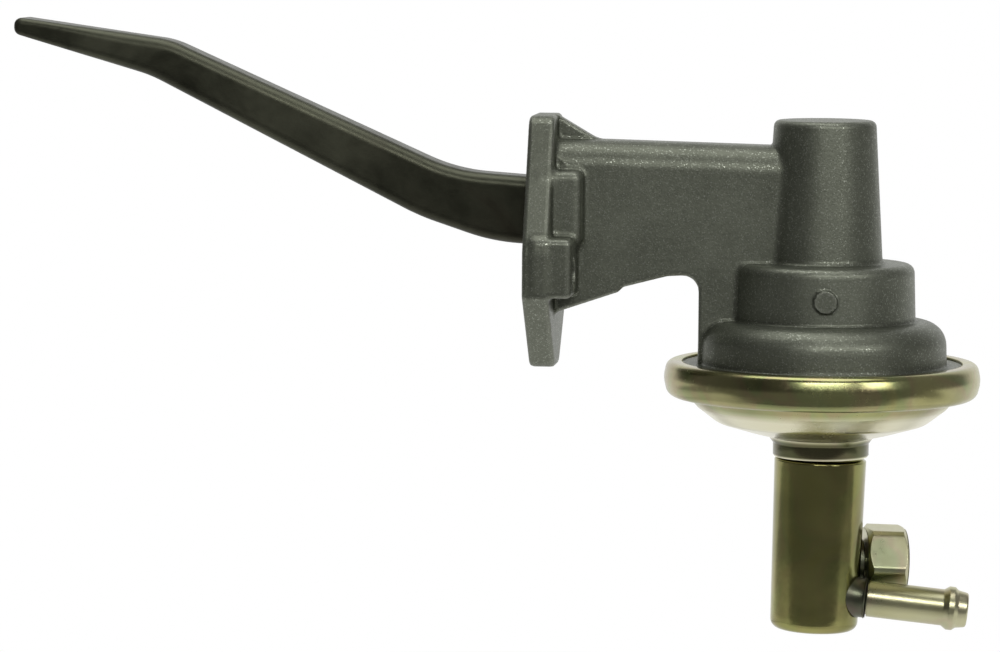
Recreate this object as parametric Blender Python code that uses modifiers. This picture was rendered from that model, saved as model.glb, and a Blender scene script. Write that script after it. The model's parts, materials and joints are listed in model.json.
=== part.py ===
"""Mechanical diaphragm lift pump for a diesel engine, as separate bench parts.

The frame: X = 0 is the mounting face of the flange, X runs out along the neck,
Z is up along the pump's axis and Y runs across. Everything is in metres.
"""
import math

import bmesh
import bpy
from mathutils import Matrix, Vector

MM = 0.001

# Clearances
GAP = 0.3 * MM
RUN = 0.08 * MM

# Mounting flange and its bolt bosses
FLANGE_THICK = 6.6 * MM
FLANGE_TOP = 32.5 * MM
FLANGE_TOP_HALF = 10.5 * MM
FLANGE_SIDE = 25.0 * MM
FLANGE_SIDE_TOP = -1.0 * MM
FLANGE_SIDE_BOTTOM = -14.5 * MM
FLANGE_FOOT = -32.5 * MM
FLANGE_FOOT_HALF = 5.5 * MM
BOLT_HALF_SPAN = 17.3 * MM
BOLT_Z = -6.8 * MM
BOLT_HOLE_R = 4.3 * MM
BOLT_BOSS_BACK = 12.4 * MM
BOLT_BOSS_TOP = 1.0 * MM
BOSS_INSET = 0.1 * MM
PIN_BOSS_HALF = 16.5 * MM
PIN_BOSS_BACK = 13.9 * MM
PIN_BOSS_TOP = 18.1 * MM
RIB_END = 17.0 * MM
RIB_THICK = 5.0 * MM

# Neck, which is the arm's chamber
NECK_HALF = 9.7 * MM
NECK_TOP = 25.7 * MM
NECK_TOP_FALL = 1.3 * MM
NECK_FOOT = -16.9 * MM
NECK_STEP_X = 22.7 * MM
NECK_STEP_Z = -11.0 * MM
NECK_STEP = 1.3 * MM
NECK_UNDER = -7.6 * MM
WEB_X = 42.0 * MM
WALL = 2.9 * MM
MOUTH_TOP = 17.6 * MM
MOUTH_FOOT = -4.6 * MM

# Tower, barrel and bell, turned about the pump's axis
AXIS_X = 73.8 * MM
TOWER_TOP = 30.6 * MM
TOWER_TOP_R = 11.9 * MM
TOWER_FOOT_R = 13.9 * MM
BARREL_TOP = -4.2 * MM
BARREL_R = 22.4 * MM
BARREL_FOOT = -18.5 * MM
BELL_R = 30.6 * MM
BELL_CURVE = 5.9 * MM
CLAMP_TOP = -30.3 * MM
CLAMP_R = 35.9 * MM
CLAMP_THICK = 3.0 * MM
CAST_MARK_R = 3.1 * MM
CAST_MARK_PROUD = 0.5 * MM
CAST_MARK_Z = -13.2 * MM

# Rocker arm and its pivot
PIVOT_X = 9.3 * MM
PIVOT_Z = 8.5 * MM
PIN_R = 3.0 * MM
PLUG_R = 4.3 * MM
PLUG_DEPTH = 2.4 * MM
ARM_WIDTH = 13.0 * MM
ARM_TIP_X = -135.0 * MM
ARM_TIP_TOP = 55.5 * MM
ARM_TIP_DEPTH = 4.2 * MM
ARM_KNEE_X = -94.5 * MM
ARM_KNEE_TOP = 50.0 * MM
ARM_KNEE_DEPTH = 9.3 * MM
ARM_ELBOW_X = -19.5 * MM
ARM_ELBOW_TOP = 17.6 * MM
ARM_ELBOW_DEPTH = 15.2 * MM
ARM_ROOT_TOP = 15.6 * MM
ARM_ROOT_DEPTH = 17.0 * MM
FORK_CROWN_R = 5.0 * MM
FORK_TOP = 8.0 * MM
FORK_SLOT_HALF = 3.1 * MM

# Pull rod, cup and springs
ROD_R = 2.4 * MM
ROD_HEAD_R = 4.6 * MM
ROD_HEAD_THICK = 2.0 * MM
CUP_SHEET = 0.9 * MM
CUP_FLANGE_R = 8.0 * MM
CUP_HEIGHT = 5.0 * MM
ARM_SPRING_R = 7.0 * MM
ARM_SPRING_WIRE = 1.4 * MM
ARM_SPRING_TURNS = 6
DIAPHRAGM_SPRING_R = 13.0 * MM
DIAPHRAGM_SPRING_WIRE = 2.2 * MM
DIAPHRAGM_SPRING_TURNS = 6
SEAL_R = 6.0 * MM
SEAL_THICK = 3.2 * MM
RETAINER_R = 8.2 * MM
RETAINER_SHEET = 0.9 * MM

# Diaphragm between its plates
DIAPHRAGM_THICK = 1.4 * MM
DIAPHRAGM_DROP = 2.6 * MM
PLATE_R = 17.0 * MM
PLATE_THICK = 1.2 * MM
PLATE_RIM = 2.2 * MM
RIVET_R = 5.0 * MM
RIVET_THICK = 1.4 * MM

# Pressed cover, crimped round the clamp ring
SHEET = 1.5 * MM
RIM_BEAD = 4.2 * MM
LIP_OVERLAP = 0.5 * MM
LIP_TOP = -29.7 * MM
DISH_R = 31.4 * MM
DISH_RIM_Z = -40.5 * MM
THROAT_Z = -49.7 * MM
COLLAR_R = 12.1 * MM
COLLAR_FOOT = -53.7 * MM

# Valve can, its plate, valves and divider
CAN_SHEET = 1.2 * MM
CAN_TOP_R = 11.4 * MM
CAN_FOOT_R = 10.85 * MM
CAN_SHOULDER = -54.6 * MM
CAN_FOOT = -97.9 * MM
VALVE_PLATE_Z = -49.6 * MM
VALVE_PLATE_THICK = 2.7 * MM
VALVE_OFFSET = 5.1 * MM
PORT_R = 2.3 * MM
VALVE_DISC_R = 3.1 * MM
VALVE_DISC_THICK = 0.9 * MM
VALVE_LIFT = 1.2 * MM
CAGE_R = 3.9 * MM
CAGE_SHEET = 0.5 * MM
CAGE_HEIGHT = 3.7 * MM
VALVE_SPRING_R = 1.8 * MM
VALVE_SPRING_WIRE = 0.35 * MM
DIVIDER_THICK = 1.0 * MM
DIVIDER_TURN = 22.0
DIVIDER_FOOT = -95.8 * MM

# Pipe fittings on the can, which leans a little in its collar
CAN_LEAN = 1.5
SPIGOT_IN = 6.4 * MM
INLET_DROOP = 1.0
INLET_Z = -81.5 * MM
INLET_Y = 7.3 * MM
INLET_TURN = 12.0
INLET_SPIGOT_R = 3.9 * MM
HEX_FLAT = 18.3 * MM
HEX_LENGTH = 11.4 * MM
HEX_ROLL = 34.0
HEX_START = 11.7 * MM
HEX_CHAMFER = 1.3 * MM
INLET_BORE_R = 5.6 * MM
INLET_PORT_R = 2.4 * MM
INLET_BOSS_START = 0.5 * MM
INLET_COLLAR_R = 6.4 * MM
NIPPLE_DROOP = 4.0
NIPPLE_Z = -88.5 * MM
NIPPLE_Y = -3.0 * MM
NIPPLE_TURN = 3.0
NIPPLE_R = 4.6 * MM
NIPPLE_SPIGOT_R = 4.1 * MM
NIPPLE_BORE_R = 3.4 * MM
NIPPLE_LENGTH = 39.3 * MM
NIPPLE_BEAD_R = 5.5 * MM
NIPPLE_COLLAR_R = 5.3 * MM
NIPPLE_COLLAR_END = 13.2 * MM

# Corners closer than this are one corner, and a rounding shorter than this stays a corner
WELD = 0.002 * MM
SMALLEST_ROUNDING = 0.15 * MM

# Facet counts
ROUND = 32
WIDE_ROUND = 36
SMALL_ROUND = 16

ALLOY = (0.30, 0.32, 0.28)
ZINC = (0.55, 0.52, 0.30)
STEEL = (0.20, 0.19, 0.13)


def material(name, colour, roughness, metallic):
    """A plain Principled finish."""
    finish = bpy.data.materials.new(name)
    finish.use_nodes = True
    shader = finish.node_tree.nodes["Principled BSDF"]
    shader.inputs["Base Color"].default_value = (*colour, 1.0)
    shader.inputs["Roughness"].default_value = roughness
    shader.inputs["Metallic"].default_value = metallic
    finish.diffuse_color = (*colour, 1.0)
    return finish


def collection(name):
    group = bpy.data.collections.new(name)
    bpy.context.scene.collection.children.link(group)
    return group


def add(name, data, group):
    piece = bpy.data.objects.new(name, data)
    group.objects.link(piece)
    return piece


def filleted(corners, closed=True, steps=3):
    """Corners (u, v, radius) joined by straight lines, each corner rounded by an arc."""
    points = []
    count = len(corners)
    for i, (u, v, radius) in enumerate(corners):
        here = Vector((u, v))
        if radius == 0 or (not closed and i in (0, count - 1)):
            points.append(here)
            continue
        back = (Vector(corners[i - 1][:2]) - here).normalized()
        ahead = (Vector(corners[(i + 1) % count][:2]) - here).normalized()
        half = back.angle(ahead) / 2
        reach = radius / math.tan(half)
        if reach < SMALLEST_ROUNDING:
            points.append(here)
            continue
        centre = here + (back + ahead).normalized() * (radius / math.sin(half))
        start, end = here + back * reach - centre, here + ahead * reach - centre
        sweep = start.angle_signed(end)
        for k in range(steps + 1):
            points.append(centre + Matrix.Rotation(-sweep * k / steps, 2) @ start)
    return [(p.x, p.y) for p in points]


def baked(piece, group, name=None):
    """The evaluated shape as a plain welded mesh object, in place of the first one."""
    bpy.context.view_layer.update()
    graph = bpy.context.evaluated_depsgraph_get()
    mesh = bpy.data.meshes.new_from_object(piece.evaluated_get(graph))
    shape = bmesh.new()
    shape.from_mesh(mesh)
    bmesh.ops.remove_doubles(shape, verts=shape.verts, dist=WELD)
    bmesh.ops.recalc_face_normals(shape, faces=shape.faces)
    shape.to_mesh(mesh)
    shape.free()
    mesh.transform(piece.matrix_world)
    title = name or piece.name
    bpy.data.objects.remove(piece)
    return add(title, mesh, group)


def turned(name, profile, group, centre=(AXIS_X, 0, 0), closed=False, steps=ROUND):
    """A profile (radius, z) turned about a vertical axis through centre."""
    mesh = bpy.data.meshes.new(name)
    edges = [(i, i + 1) for i in range(len(profile) - 1)]
    if closed:
        edges.append((len(profile) - 1, 0))
    mesh.from_pydata([(r, 0, z) for r, z in profile], edges, [])
    piece = add(name, mesh, group)
    screw = piece.modifiers.new("turn", "SCREW")
    screw.steps = screw.render_steps = steps
    screw.use_merge_vertices = True
    screw.merge_threshold = 1e-6
    piece.location = centre
    return baked(piece, group)


def plate(name, outline, thickness, group, turn=Matrix.Identity(4)):
    """A flat outline with a thickness, laid on its local XY plane and then turned."""
    curve = bpy.data.curves.new(name, "CURVE")
    curve.dimensions = "2D"
    curve.fill_mode = "BOTH"
    curve.extrude = thickness / 2
    spline = curve.splines.new("POLY")
    spline.points.add(len(outline) - 1)
    for point, (u, v) in zip(spline.points, outline):
        point.co = (u, v, 0, 1)
    spline.use_cyclic_u = True
    piece = add(name, curve, group)
    piece.matrix_world = turn
    return baked(piece, group)


def across_x(x):
    """Turns a plate's outline (u, v) into (Y, Z), its middle at x."""
    return Matrix.Translation((x, 0, 0)) @ Matrix(((0, 0, 1, 0), (1, 0, 0, 0), (0, 1, 0, 0), (0, 0, 0, 1)))


def across_y(y):
    """Turns a plate's outline (u, v) into (X, Z), its middle at y."""
    return Matrix.Translation((0, y, 0)) @ Matrix.Rotation(math.pi / 2, 4, "X")


def block(name, low, high, group):
    """A box between two corners."""
    bpy.ops.mesh.primitive_cube_add(size=1)
    cube = bpy.context.active_object
    size = [b - a for a, b in zip(low, high)]
    middle = [(a + b) / 2 for a, b in zip(low, high)]
    cube.data.transform(Matrix.Translation(middle) @ Matrix.Diagonal((*size, 1)))
    for home in cube.users_collection:
        home.objects.unlink(cube)
    group.objects.link(cube)
    cube.name = name
    return cube


def rod(name, radius, start, end, group, sides=SMALL_ROUND, r_end=None):
    """A round bar, or a cone, from start to end."""
    start, end = Vector(start), Vector(end)
    shape = bmesh.new()
    bmesh.ops.create_cone(
        shape,
        cap_ends=True,
        segments=sides,
        radius1=radius,
        radius2=radius if r_end is None else r_end,
        depth=(end - start).length,
    )
    facing = (end - start).to_track_quat("Z", "Y").to_matrix().to_4x4()
    bmesh.ops.transform(shape, matrix=Matrix.Translation((start + end) / 2) @ facing, verts=shape.verts)
    mesh = bpy.data.meshes.new(name)
    shape.to_mesh(mesh)
    shape.free()
    return add(name, mesh, group)


def softened(piece, width, segments=2, chosen=None):
    """Rounds the sharp edges, or only those for which chosen(edge) is true."""
    shape = bmesh.new()
    shape.from_mesh(piece.data)
    sharp = [
        e
        for e in shape.edges
        if len(e.link_faces) == 2
        and e.calc_face_angle() > math.radians(40)
        and (chosen is None or chosen(e))
    ]
    bmesh.ops.bevel(
        shape, geom=sharp, offset=width, segments=segments, profile=0.5, affect="EDGES", clamp_overlap=True
    )
    bmesh.ops.remove_doubles(shape, verts=shape.verts, dist=WELD)
    shape.to_mesh(piece.data)
    shape.free()
    return piece


def combined(base, others, operation, group):
    """One Boolean after another on base; the other shapes are used up."""
    for other in others:
        step = base.modifiers.new(operation.lower(), "BOOLEAN")
        step.operation = operation
        step.solver = "EXACT"
        step.object = other
        base = baked(base, group)
        bpy.data.objects.remove(other)
    return base


def coil(name, radius, wire, low, high, turns, group, per_turn=10):
    """A compression spring: its first and last turns lie closed, the rest rise evenly."""
    closed = wire * 1.06
    rise = high - low - wire - 2 * closed
    count = turns * per_turn
    curve = bpy.data.curves.new(name, "CURVE")
    curve.dimensions = "3D"
    curve.bevel_depth = wire / 2
    curve.bevel_resolution = 2
    curve.use_fill_caps = True
    spline = curve.splines.new("POLY")
    spline.points.add(count)
    for i in range(count + 1):
        turn = i / per_turn
        middle = min(max(turn - 1, 0), turns - 2) / (turns - 2)
        z = low + wire / 2 + closed * min(turn, 1) + rise * middle + closed * max(turn - turns + 1, 0)
        angle = 2 * math.pi * turn
        spline.points[i].co = (radius * math.cos(angle), radius * math.sin(angle), z, 1)
    return add(name, curve, group)


def origin_at(piece, point):
    """Moves a piece's origin, not its shape."""
    piece.data.transform(Matrix.Translation(-Vector(point)))
    piece.location = point


def finished(piece, finish, angle=35):
    piece.data.materials.clear()
    piece.data.materials.append(finish)
    if isinstance(piece.data, bpy.types.Mesh):
        piece.data.shade_smooth()
        piece.data.set_sharp_from_angle(angle=math.radians(angle))
    return piece


def flange_shape(group):
    """The mounting flange: flat top, sides sloping out to the bolt bosses, narrow foot."""
    right = [
        (FLANGE_TOP_HALF, FLANGE_TOP, 4 * MM),
        (FLANGE_SIDE, FLANGE_SIDE_TOP, 8 * MM),
        (FLANGE_SIDE, FLANGE_SIDE_BOTTOM, 2 * MM),
        (FLANGE_FOOT_HALF, FLANGE_FOOT, 5 * MM),
    ]
    left = [(-y, z, r) for y, z, r in reversed(right)]
    outline = filleted(left + right)
    flange = plate("flange", outline, FLANGE_THICK, group, across_x(FLANGE_THICK / 2))
    return softened(flange, 0.8 * MM, chosen=lambda e: e.verts[0].co.x + e.verts[1].co.x > FLANGE_THICK)


def boss_shapes(group):
    """The bolt bosses and, above them, the bosses that hold the pivot pin."""
    bolt = block(
        "bolt_boss",
        (0.45 * FLANGE_THICK, -FLANGE_SIDE + BOSS_INSET, FLANGE_SIDE_BOTTOM + BOSS_INSET),
        (BOLT_BOSS_BACK, FLANGE_SIDE - BOSS_INSET, BOLT_BOSS_TOP),
        group,
    )
    pin = block(
        "pin_boss",
        (0.35 * FLANGE_THICK, -PIN_BOSS_HALF, BOLT_BOSS_TOP - 2.3 * MM),
        (PIN_BOSS_BACK, PIN_BOSS_HALF, PIN_BOSS_TOP),
        group,
    )
    return [softened(bolt, 0.9 * MM), softened(pin, 1.4 * MM)]


def rib_shape(group):
    """The gusset between the flange's top and the neck's roof."""
    overlap = 3 * MM
    start = 0.25 * FLANGE_THICK
    outline = [
        (start, FLANGE_TOP - 0.4 * MM),
        (FLANGE_THICK, FLANGE_TOP - 0.4 * MM),
        (RIB_END, NECK_TOP - 0.2 * MM),
        (RIB_END, NECK_TOP - overlap),
        (start, NECK_TOP - overlap),
    ]
    return softened(plate("rib", outline, RIB_THICK, group, across_y(0)), 0.5 * MM)


def neck_outline():
    """The neck seen from the side, with the web that runs down beside the barrel."""
    start = FLANGE_THICK / 2
    return [
        (start, NECK_TOP, 0),
        (RIB_END, NECK_TOP, 0),
        (AXIS_X, NECK_TOP - NECK_TOP_FALL, 0),
        (AXIS_X, CLAMP_TOP - CLAMP_THICK / 2, 0),
        (WEB_X, CLAMP_TOP - CLAMP_THICK / 2, 0),
        (WEB_X, NECK_UNDER, 4 * MM),
        (WEB_X - 8 * MM, NECK_UNDER - 0.5 * MM, 6 * MM),
        (NECK_STEP_X, NECK_STEP_Z, 1 * MM),
        (NECK_STEP_X - NECK_STEP, NECK_STEP_Z - NECK_STEP, 0.8 * MM),
        (FLANGE_THICK, NECK_FOOT - 0.4 * MM, 0),
        (start, NECK_FOOT - 0.4 * MM, 0),
    ]


def neck_shape(group):
    """The neck: its side view carried across, with a well rounded roof."""
    neck = plate("neck", filleted(neck_outline()), 2 * NECK_HALF, group, across_y(0))
    roof = NECK_TOP - 2 * NECK_TOP_FALL

    def along_roof(edge):
        ends = [v.co for v in edge.verts]
        return all(p.z > roof for p in ends) and abs(ends[0].y - ends[1].y) < 1e-6

    return softened(neck, 6.4 * MM, segments=5, chosen=along_roof)


def tower_profile(shrink=0.0):
    """The tapered tower over the pump's axis; shrink gives its hollow."""
    foot = BARREL_TOP - (1 * MM if shrink == 0 else 0)
    top = TOWER_TOP - shrink
    rounding = 1.8 * MM if shrink == 0 else 3 * MM
    corners = [
        (0, top, 0),
        (TOWER_TOP_R - shrink, top, rounding),
        (TOWER_FOOT_R - shrink, BARREL_TOP + (1.6 * MM if shrink == 0 else 0), 0),
    ]
    if shrink == 0:
        corners.append((TOWER_FOOT_R + 1.6 * MM, BARREL_TOP, 0))
    corners += [(corners[-1][0], foot, 0), (0, foot, 0)]
    return filleted(corners, closed=False)


def barrel_profile():
    """The spring barrel, the bell below it and the ring that the cover clamps."""
    foot_r = BARREL_R + 0.7 * MM
    ring_foot = CLAMP_TOP - CLAMP_THICK
    corners = [
        (0, BARREL_TOP, 0),
        (BARREL_R - 0.2 * MM, BARREL_TOP, 2.6 * MM),
        (foot_r, BARREL_FOOT, 0.8 * MM),
        (BELL_R - 0.3 * MM, BARREL_FOOT, BELL_CURVE),
        (BELL_R, CLAMP_TOP, 0),
        (CLAMP_R, CLAMP_TOP, 0.5 * MM),
        (CLAMP_R, ring_foot, 0),
        (0, ring_foot, 0),
    ]
    return filleted(corners, closed=False)


def barrel_hollow_profile():
    """The hollow under the barrel's roof, which opens over the diaphragm."""
    ring_foot = CLAMP_TOP - CLAMP_THICK
    roof = BARREL_TOP - WALL
    corners = [
        (0, roof, 0),
        (BARREL_R - WALL, roof, 2 * MM),
        (BARREL_R - WALL + 0.7 * MM, BARREL_FOOT - WALL, 1.5 * MM),
        (BELL_R - WALL - 0.3 * MM, BARREL_FOOT - WALL, 3.5 * MM),
        (BELL_R - WALL, ring_foot + 1 * MM, 0),
        (BELL_R - WALL + 1 * MM, ring_foot - 1 * MM, 0),
        (0, ring_foot - 1 * MM, 0),
    ]
    return filleted(corners, closed=False)


def chamber_shape(group):
    """The hollow in which the arm swings, from the flange's mouth to the tower."""
    floor = BARREL_TOP
    outline = [
        (-1 * MM, MOUTH_FOOT, 0),
        (-1 * MM, MOUTH_TOP, 0),
        (FLANGE_THICK + 1.4 * MM, MOUTH_TOP, 0),
        (RIB_END - 3 * MM, NECK_TOP - 1.3 * WALL, 2 * MM),
        (AXIS_X, NECK_TOP - NECK_TOP_FALL - 1.3 * WALL, 0),
        (AXIS_X, floor, 0),
        (WEB_X, floor, 4 * MM),
        (NECK_STEP_X, NECK_STEP_Z + WALL, 4 * MM),
        (FLANGE_THICK + 4.5 * MM, NECK_FOOT + 1.3 * WALL, 2 * MM),
        (FLANGE_THICK + 1.4 * MM, MOUTH_FOOT, 0),
    ]
    half = ARM_WIDTH / 2 + 0.5 * MM
    return plate("chamber", filleted(outline), 2 * half, group, across_y(0))


def build_housing(parts, tools, finish):
    """The cast body: flange, bosses, neck, tower, barrel and bell, hollowed and drilled."""
    housing = flange_shape(tools)
    solids = [*boss_shapes(tools), rib_shape(tools), neck_shape(tools)]
    solids.append(turned("tower", tower_profile(), tools))
    solids.append(turned("barrel", barrel_profile(), tools, steps=WIDE_ROUND))
    mark_y = -(BARREL_R + CAST_MARK_PROUD)
    mark_end = (AXIS_X, -BARREL_R + 2 * MM, CAST_MARK_Z)
    solids.append(rod("cast_mark", CAST_MARK_R, (AXIS_X, mark_y, CAST_MARK_Z), mark_end, tools))
    housing = combined(housing, solids, "UNION", tools)

    hollows = [
        chamber_shape(tools),
        turned("tower_hollow", tower_profile(WALL), tools, steps=SMALL_ROUND),
        turned("barrel_hollow", barrel_hollow_profile(), tools),
    ]
    for side in (-1, 1):
        y = side * BOLT_HALF_SPAN
        ends = (-1 * MM, y, BOLT_Z), (BOLT_BOSS_BACK + 1 * MM, y, BOLT_Z)
        hollows.append(rod("bolt_hole", BOLT_HOLE_R, *ends, tools))
    pin_ends = (PIVOT_X, -PIN_BOSS_HALF + WALL, PIVOT_Z), (PIVOT_X, PIN_BOSS_HALF + 1 * MM, PIVOT_Z)
    hollows.append(rod("pin_hole", PIN_R + RUN, *pin_ends, tools))
    plug_ends = (PIVOT_X, PIN_BOSS_HALF - PLUG_DEPTH, PIVOT_Z), (PIVOT_X, PIN_BOSS_HALF + 1 * MM, PIVOT_Z)
    hollows.append(rod("plug_hole", PLUG_R + GAP, *plug_ends, tools))
    seal_ends = (AXIS_X, 0, BARREL_TOP + 1 * MM), (AXIS_X, 0, BARREL_TOP - WALL - 1 * MM)
    hollows.append(rod("rod_hole", ROD_R + 2 * GAP, *seal_ends, tools))
    housing = combined(housing, hollows, "DIFFERENCE", parts)
    housing.name = "housing"
    return finished(housing, finish, 32)



def build_pin(parts, finish):
    """The pivot pin in its blind hole, 0.3 mm short of the hole's end and of the plug."""
    near = -PIN_BOSS_HALF + WALL + GAP
    far = PIN_BOSS_HALF - PLUG_DEPTH - GAP
    pin = rod("rocker_pin", PIN_R, (PIVOT_X, near, PIVOT_Z), (PIVOT_X, far, PIVOT_Z), parts)
    return finished(softened(pin, 0.4 * MM, segments=1), finish)


def build_pin_plug(parts, finish):
    """The pressed cup that closes the pin's hole on the far side."""
    depth, sheet = PLUG_DEPTH - GAP, 0.8 * MM
    corners = [
        (0, -depth + sheet, 0),
        (PLUG_R - sheet, -depth + sheet, 0),
        (PLUG_R - sheet, 0, 0),
        (PLUG_R, 0, 0),
        (PLUG_R, -depth, 0.5 * MM),
        (0, -depth, 0),
    ]
    plug = turned("pin_plug", filleted(corners, closed=False, steps=2), parts, (0, 0, 0), steps=SMALL_ROUND)
    facing = Matrix.Rotation(-math.pi / 2, 4, "X")
    plug.data.transform(Matrix.Translation((PIVOT_X, PIN_BOSS_HALF, PIVOT_Z)) @ facing)
    return finished(plug, finish)


def arm_outline():
    """The arm seen from the side: cam pad, knee, long shank, elbow, pivot and fork."""
    fork_x = AXIS_X + 0.8 * FORK_CROWN_R
    fork_low = FORK_TOP - 1.55 * FORK_CROWN_R
    crown_z = FORK_TOP - FORK_CROWN_R
    crown = []
    for k in range(9):
        angle = math.radians(150 - 120 * k / 8)
        crown.append((AXIS_X + FORK_CROWN_R * math.cos(angle), crown_z + FORK_CROWN_R * math.sin(angle), 0))
    return [
        (ARM_TIP_X, ARM_TIP_TOP, 1.8 * MM),
        (ARM_KNEE_X, ARM_KNEE_TOP, 28 * MM),
        (ARM_ELBOW_X, ARM_ELBOW_TOP, 45 * MM),
        (PIVOT_X, ARM_ROOT_TOP, 12 * MM),
        (PIVOT_X + 0.55 * (AXIS_X - PIVOT_X), FORK_TOP + 1.5 * MM, 30 * MM),
        (AXIS_X - 1.7 * FORK_CROWN_R, FORK_TOP - 2.0 * MM, 6 * MM),
        *crown,
        (fork_x, fork_low, 1 * MM),
        (AXIS_X - 1.7 * FORK_CROWN_R, fork_low, 0),
        (PIVOT_X + 0.45 * (AXIS_X - PIVOT_X), FORK_TOP - 8.5 * MM, 25 * MM),
        (PIVOT_X + 2 * MM, ARM_ROOT_TOP - ARM_ROOT_DEPTH, 10 * MM),
        (ARM_ELBOW_X + 10 * MM, ARM_ELBOW_TOP - ARM_ROOT_DEPTH - 1 * MM, 50 * MM),
        (ARM_ELBOW_X - 9 * MM, ARM_ELBOW_TOP - ARM_ELBOW_DEPTH + 3.5 * MM, 60 * MM),
        (ARM_KNEE_X - 3 * MM, ARM_KNEE_TOP - ARM_KNEE_DEPTH, 35 * MM),
        (ARM_TIP_X, ARM_TIP_TOP - ARM_TIP_DEPTH, 1.8 * MM),
    ]


def build_arm(parts, tools, finish):
    """The rocker arm: a forged bar, its inner end slotted round the pull rod."""
    arm = plate("rocker_arm", filleted(arm_outline(), steps=6), ARM_WIDTH, tools, across_y(0))

    def side_edge(edge):
        return abs(edge.verts[0].co.y - edge.verts[1].co.y) < 1e-6

    softened(arm, 1.3 * MM, chosen=side_edge)
    slot_low = (AXIS_X - FORK_CROWN_R, -FORK_SLOT_HALF, -20 * MM)
    slot_high = (AXIS_X + 3 * FORK_CROWN_R, FORK_SLOT_HALF, 30 * MM)
    bore_ends = (PIVOT_X, -ARM_WIDTH, PIVOT_Z), (PIVOT_X, ARM_WIDTH, PIVOT_Z)
    cutters = [block("fork_slot", slot_low, slot_high, tools), rod("arm_bore", PIN_R + RUN, *bore_ends, tools)]
    arm = combined(arm, cutters, "DIFFERENCE", parts)
    origin_at(arm, (PIVOT_X, 0, PIVOT_Z))
    return finished(arm, finish, 40)


def seat_levels():
    """Heights that the stacked pieces on the pull rod share, from the clamp ring down."""
    edge_top = CLAMP_TOP - CLAMP_THICK - GAP
    centre_top = edge_top - DIAPHRAGM_DROP
    return {
        "edge_top": edge_top,
        "edge_foot": edge_top - DIAPHRAGM_THICK,
        "centre_top": centre_top,
        "upper_plate_top": centre_top + GAP + PLATE_THICK,
        "centre_foot": centre_top - DIAPHRAGM_THICK,
        "lower_plate_foot": centre_top - DIAPHRAGM_THICK - GAP - PLATE_THICK,
    }


def build_pull_rod(parts, finish):
    """The pull rod: a head over the arm's fork and a riveted end under the plates."""
    head_foot = FORK_TOP + GAP
    rivet_top = seat_levels()["lower_plate_foot"] - GAP
    corners = [
        (0, head_foot + ROD_HEAD_THICK, 0),
        (ROD_HEAD_R, head_foot + ROD_HEAD_THICK, 0.6 * MM),
        (ROD_HEAD_R, head_foot, 0.3 * MM),
        (ROD_R, head_foot, 0),
        (ROD_R, rivet_top, 0),
        (RIVET_R, rivet_top, 0.3 * MM),
        (RIVET_R, rivet_top - RIVET_THICK, 0.8 * MM),
        (0, rivet_top - RIVET_THICK, 0),
    ]
    piece = turned("pull_rod", filleted(corners, closed=False, steps=2), parts, steps=SMALL_ROUND)
    origin_at(piece, (AXIS_X, 0, head_foot))
    return finished(piece, finish)


def build_spring_cup(parts, finish):
    """The pressed cup that carries the arm spring and sits on the arm's fork."""
    foot = FORK_TOP + GAP
    inner = ROD_HEAD_R + GAP
    top = foot + CUP_HEIGHT
    corners = [
        (0, top, 0),
        (inner + CUP_SHEET, top, 0.8 * MM),
        (inner + CUP_SHEET, foot + CUP_SHEET, 0),
        (CUP_FLANGE_R, foot + CUP_SHEET, 0),
        (CUP_FLANGE_R, foot, 0),
        (inner, foot, 0),
        (inner, top - CUP_SHEET, 0.4 * MM),
        (0, top - CUP_SHEET, 0),
    ]
    return finished(turned("spring_cup", filleted(corners, False, 2), parts, steps=SMALL_ROUND), finish)


def build_springs(parts, finish):
    """The arm spring in the tower and the diaphragm spring in the barrel."""
    arm_low = FORK_TOP + 2 * GAP + CUP_SHEET
    arm_high = TOWER_TOP - WALL - GAP
    arm_spring = coil("arm_spring", ARM_SPRING_R, ARM_SPRING_WIRE, arm_low, arm_high, ARM_SPRING_TURNS, parts)
    low = seat_levels()["upper_plate_top"] + GAP
    high = BARREL_TOP - WALL - GAP
    wire, turns = DIAPHRAGM_SPRING_WIRE, DIAPHRAGM_SPRING_TURNS
    diaphragm_spring = coil("diaphragm_spring", DIAPHRAGM_SPRING_R, wire, low, high, turns, parts)
    for spring in (arm_spring, diaphragm_spring):
        spring.location = (AXIS_X, 0, 0)
        finished(spring, finish)


def build_seal(parts, rubber, steel):
    """The rod seal under the barrel's roof and the cup that holds it up."""
    top = BARREL_TOP - WALL - GAP
    foot = top - SEAL_THICK
    inner = ROD_R + RUN
    seal = [(inner, top), (SEAL_R, top), (SEAL_R, foot), (inner + 1.2 * MM, foot), (inner, top - SEAL_THICK / 2)]
    finished(turned("rod_seal", seal, parts, closed=True, steps=SMALL_ROUND), rubber)
    wall = SEAL_R + GAP
    outer = wall + RETAINER_SHEET
    cup_foot = foot - GAP - RETAINER_SHEET
    retainer = [
        (wall, top),
        (RETAINER_R, top),
        (RETAINER_R, top - RETAINER_SHEET),
        (outer, top - RETAINER_SHEET),
        (outer, cup_foot),
        (ROD_R + 2 * GAP, cup_foot),
        (ROD_R + 2 * GAP, cup_foot + RETAINER_SHEET),
        (wall, cup_foot + RETAINER_SHEET),
    ]
    finished(turned("seal_retainer", retainer, parts, closed=True, steps=SMALL_ROUND), steel)


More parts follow.
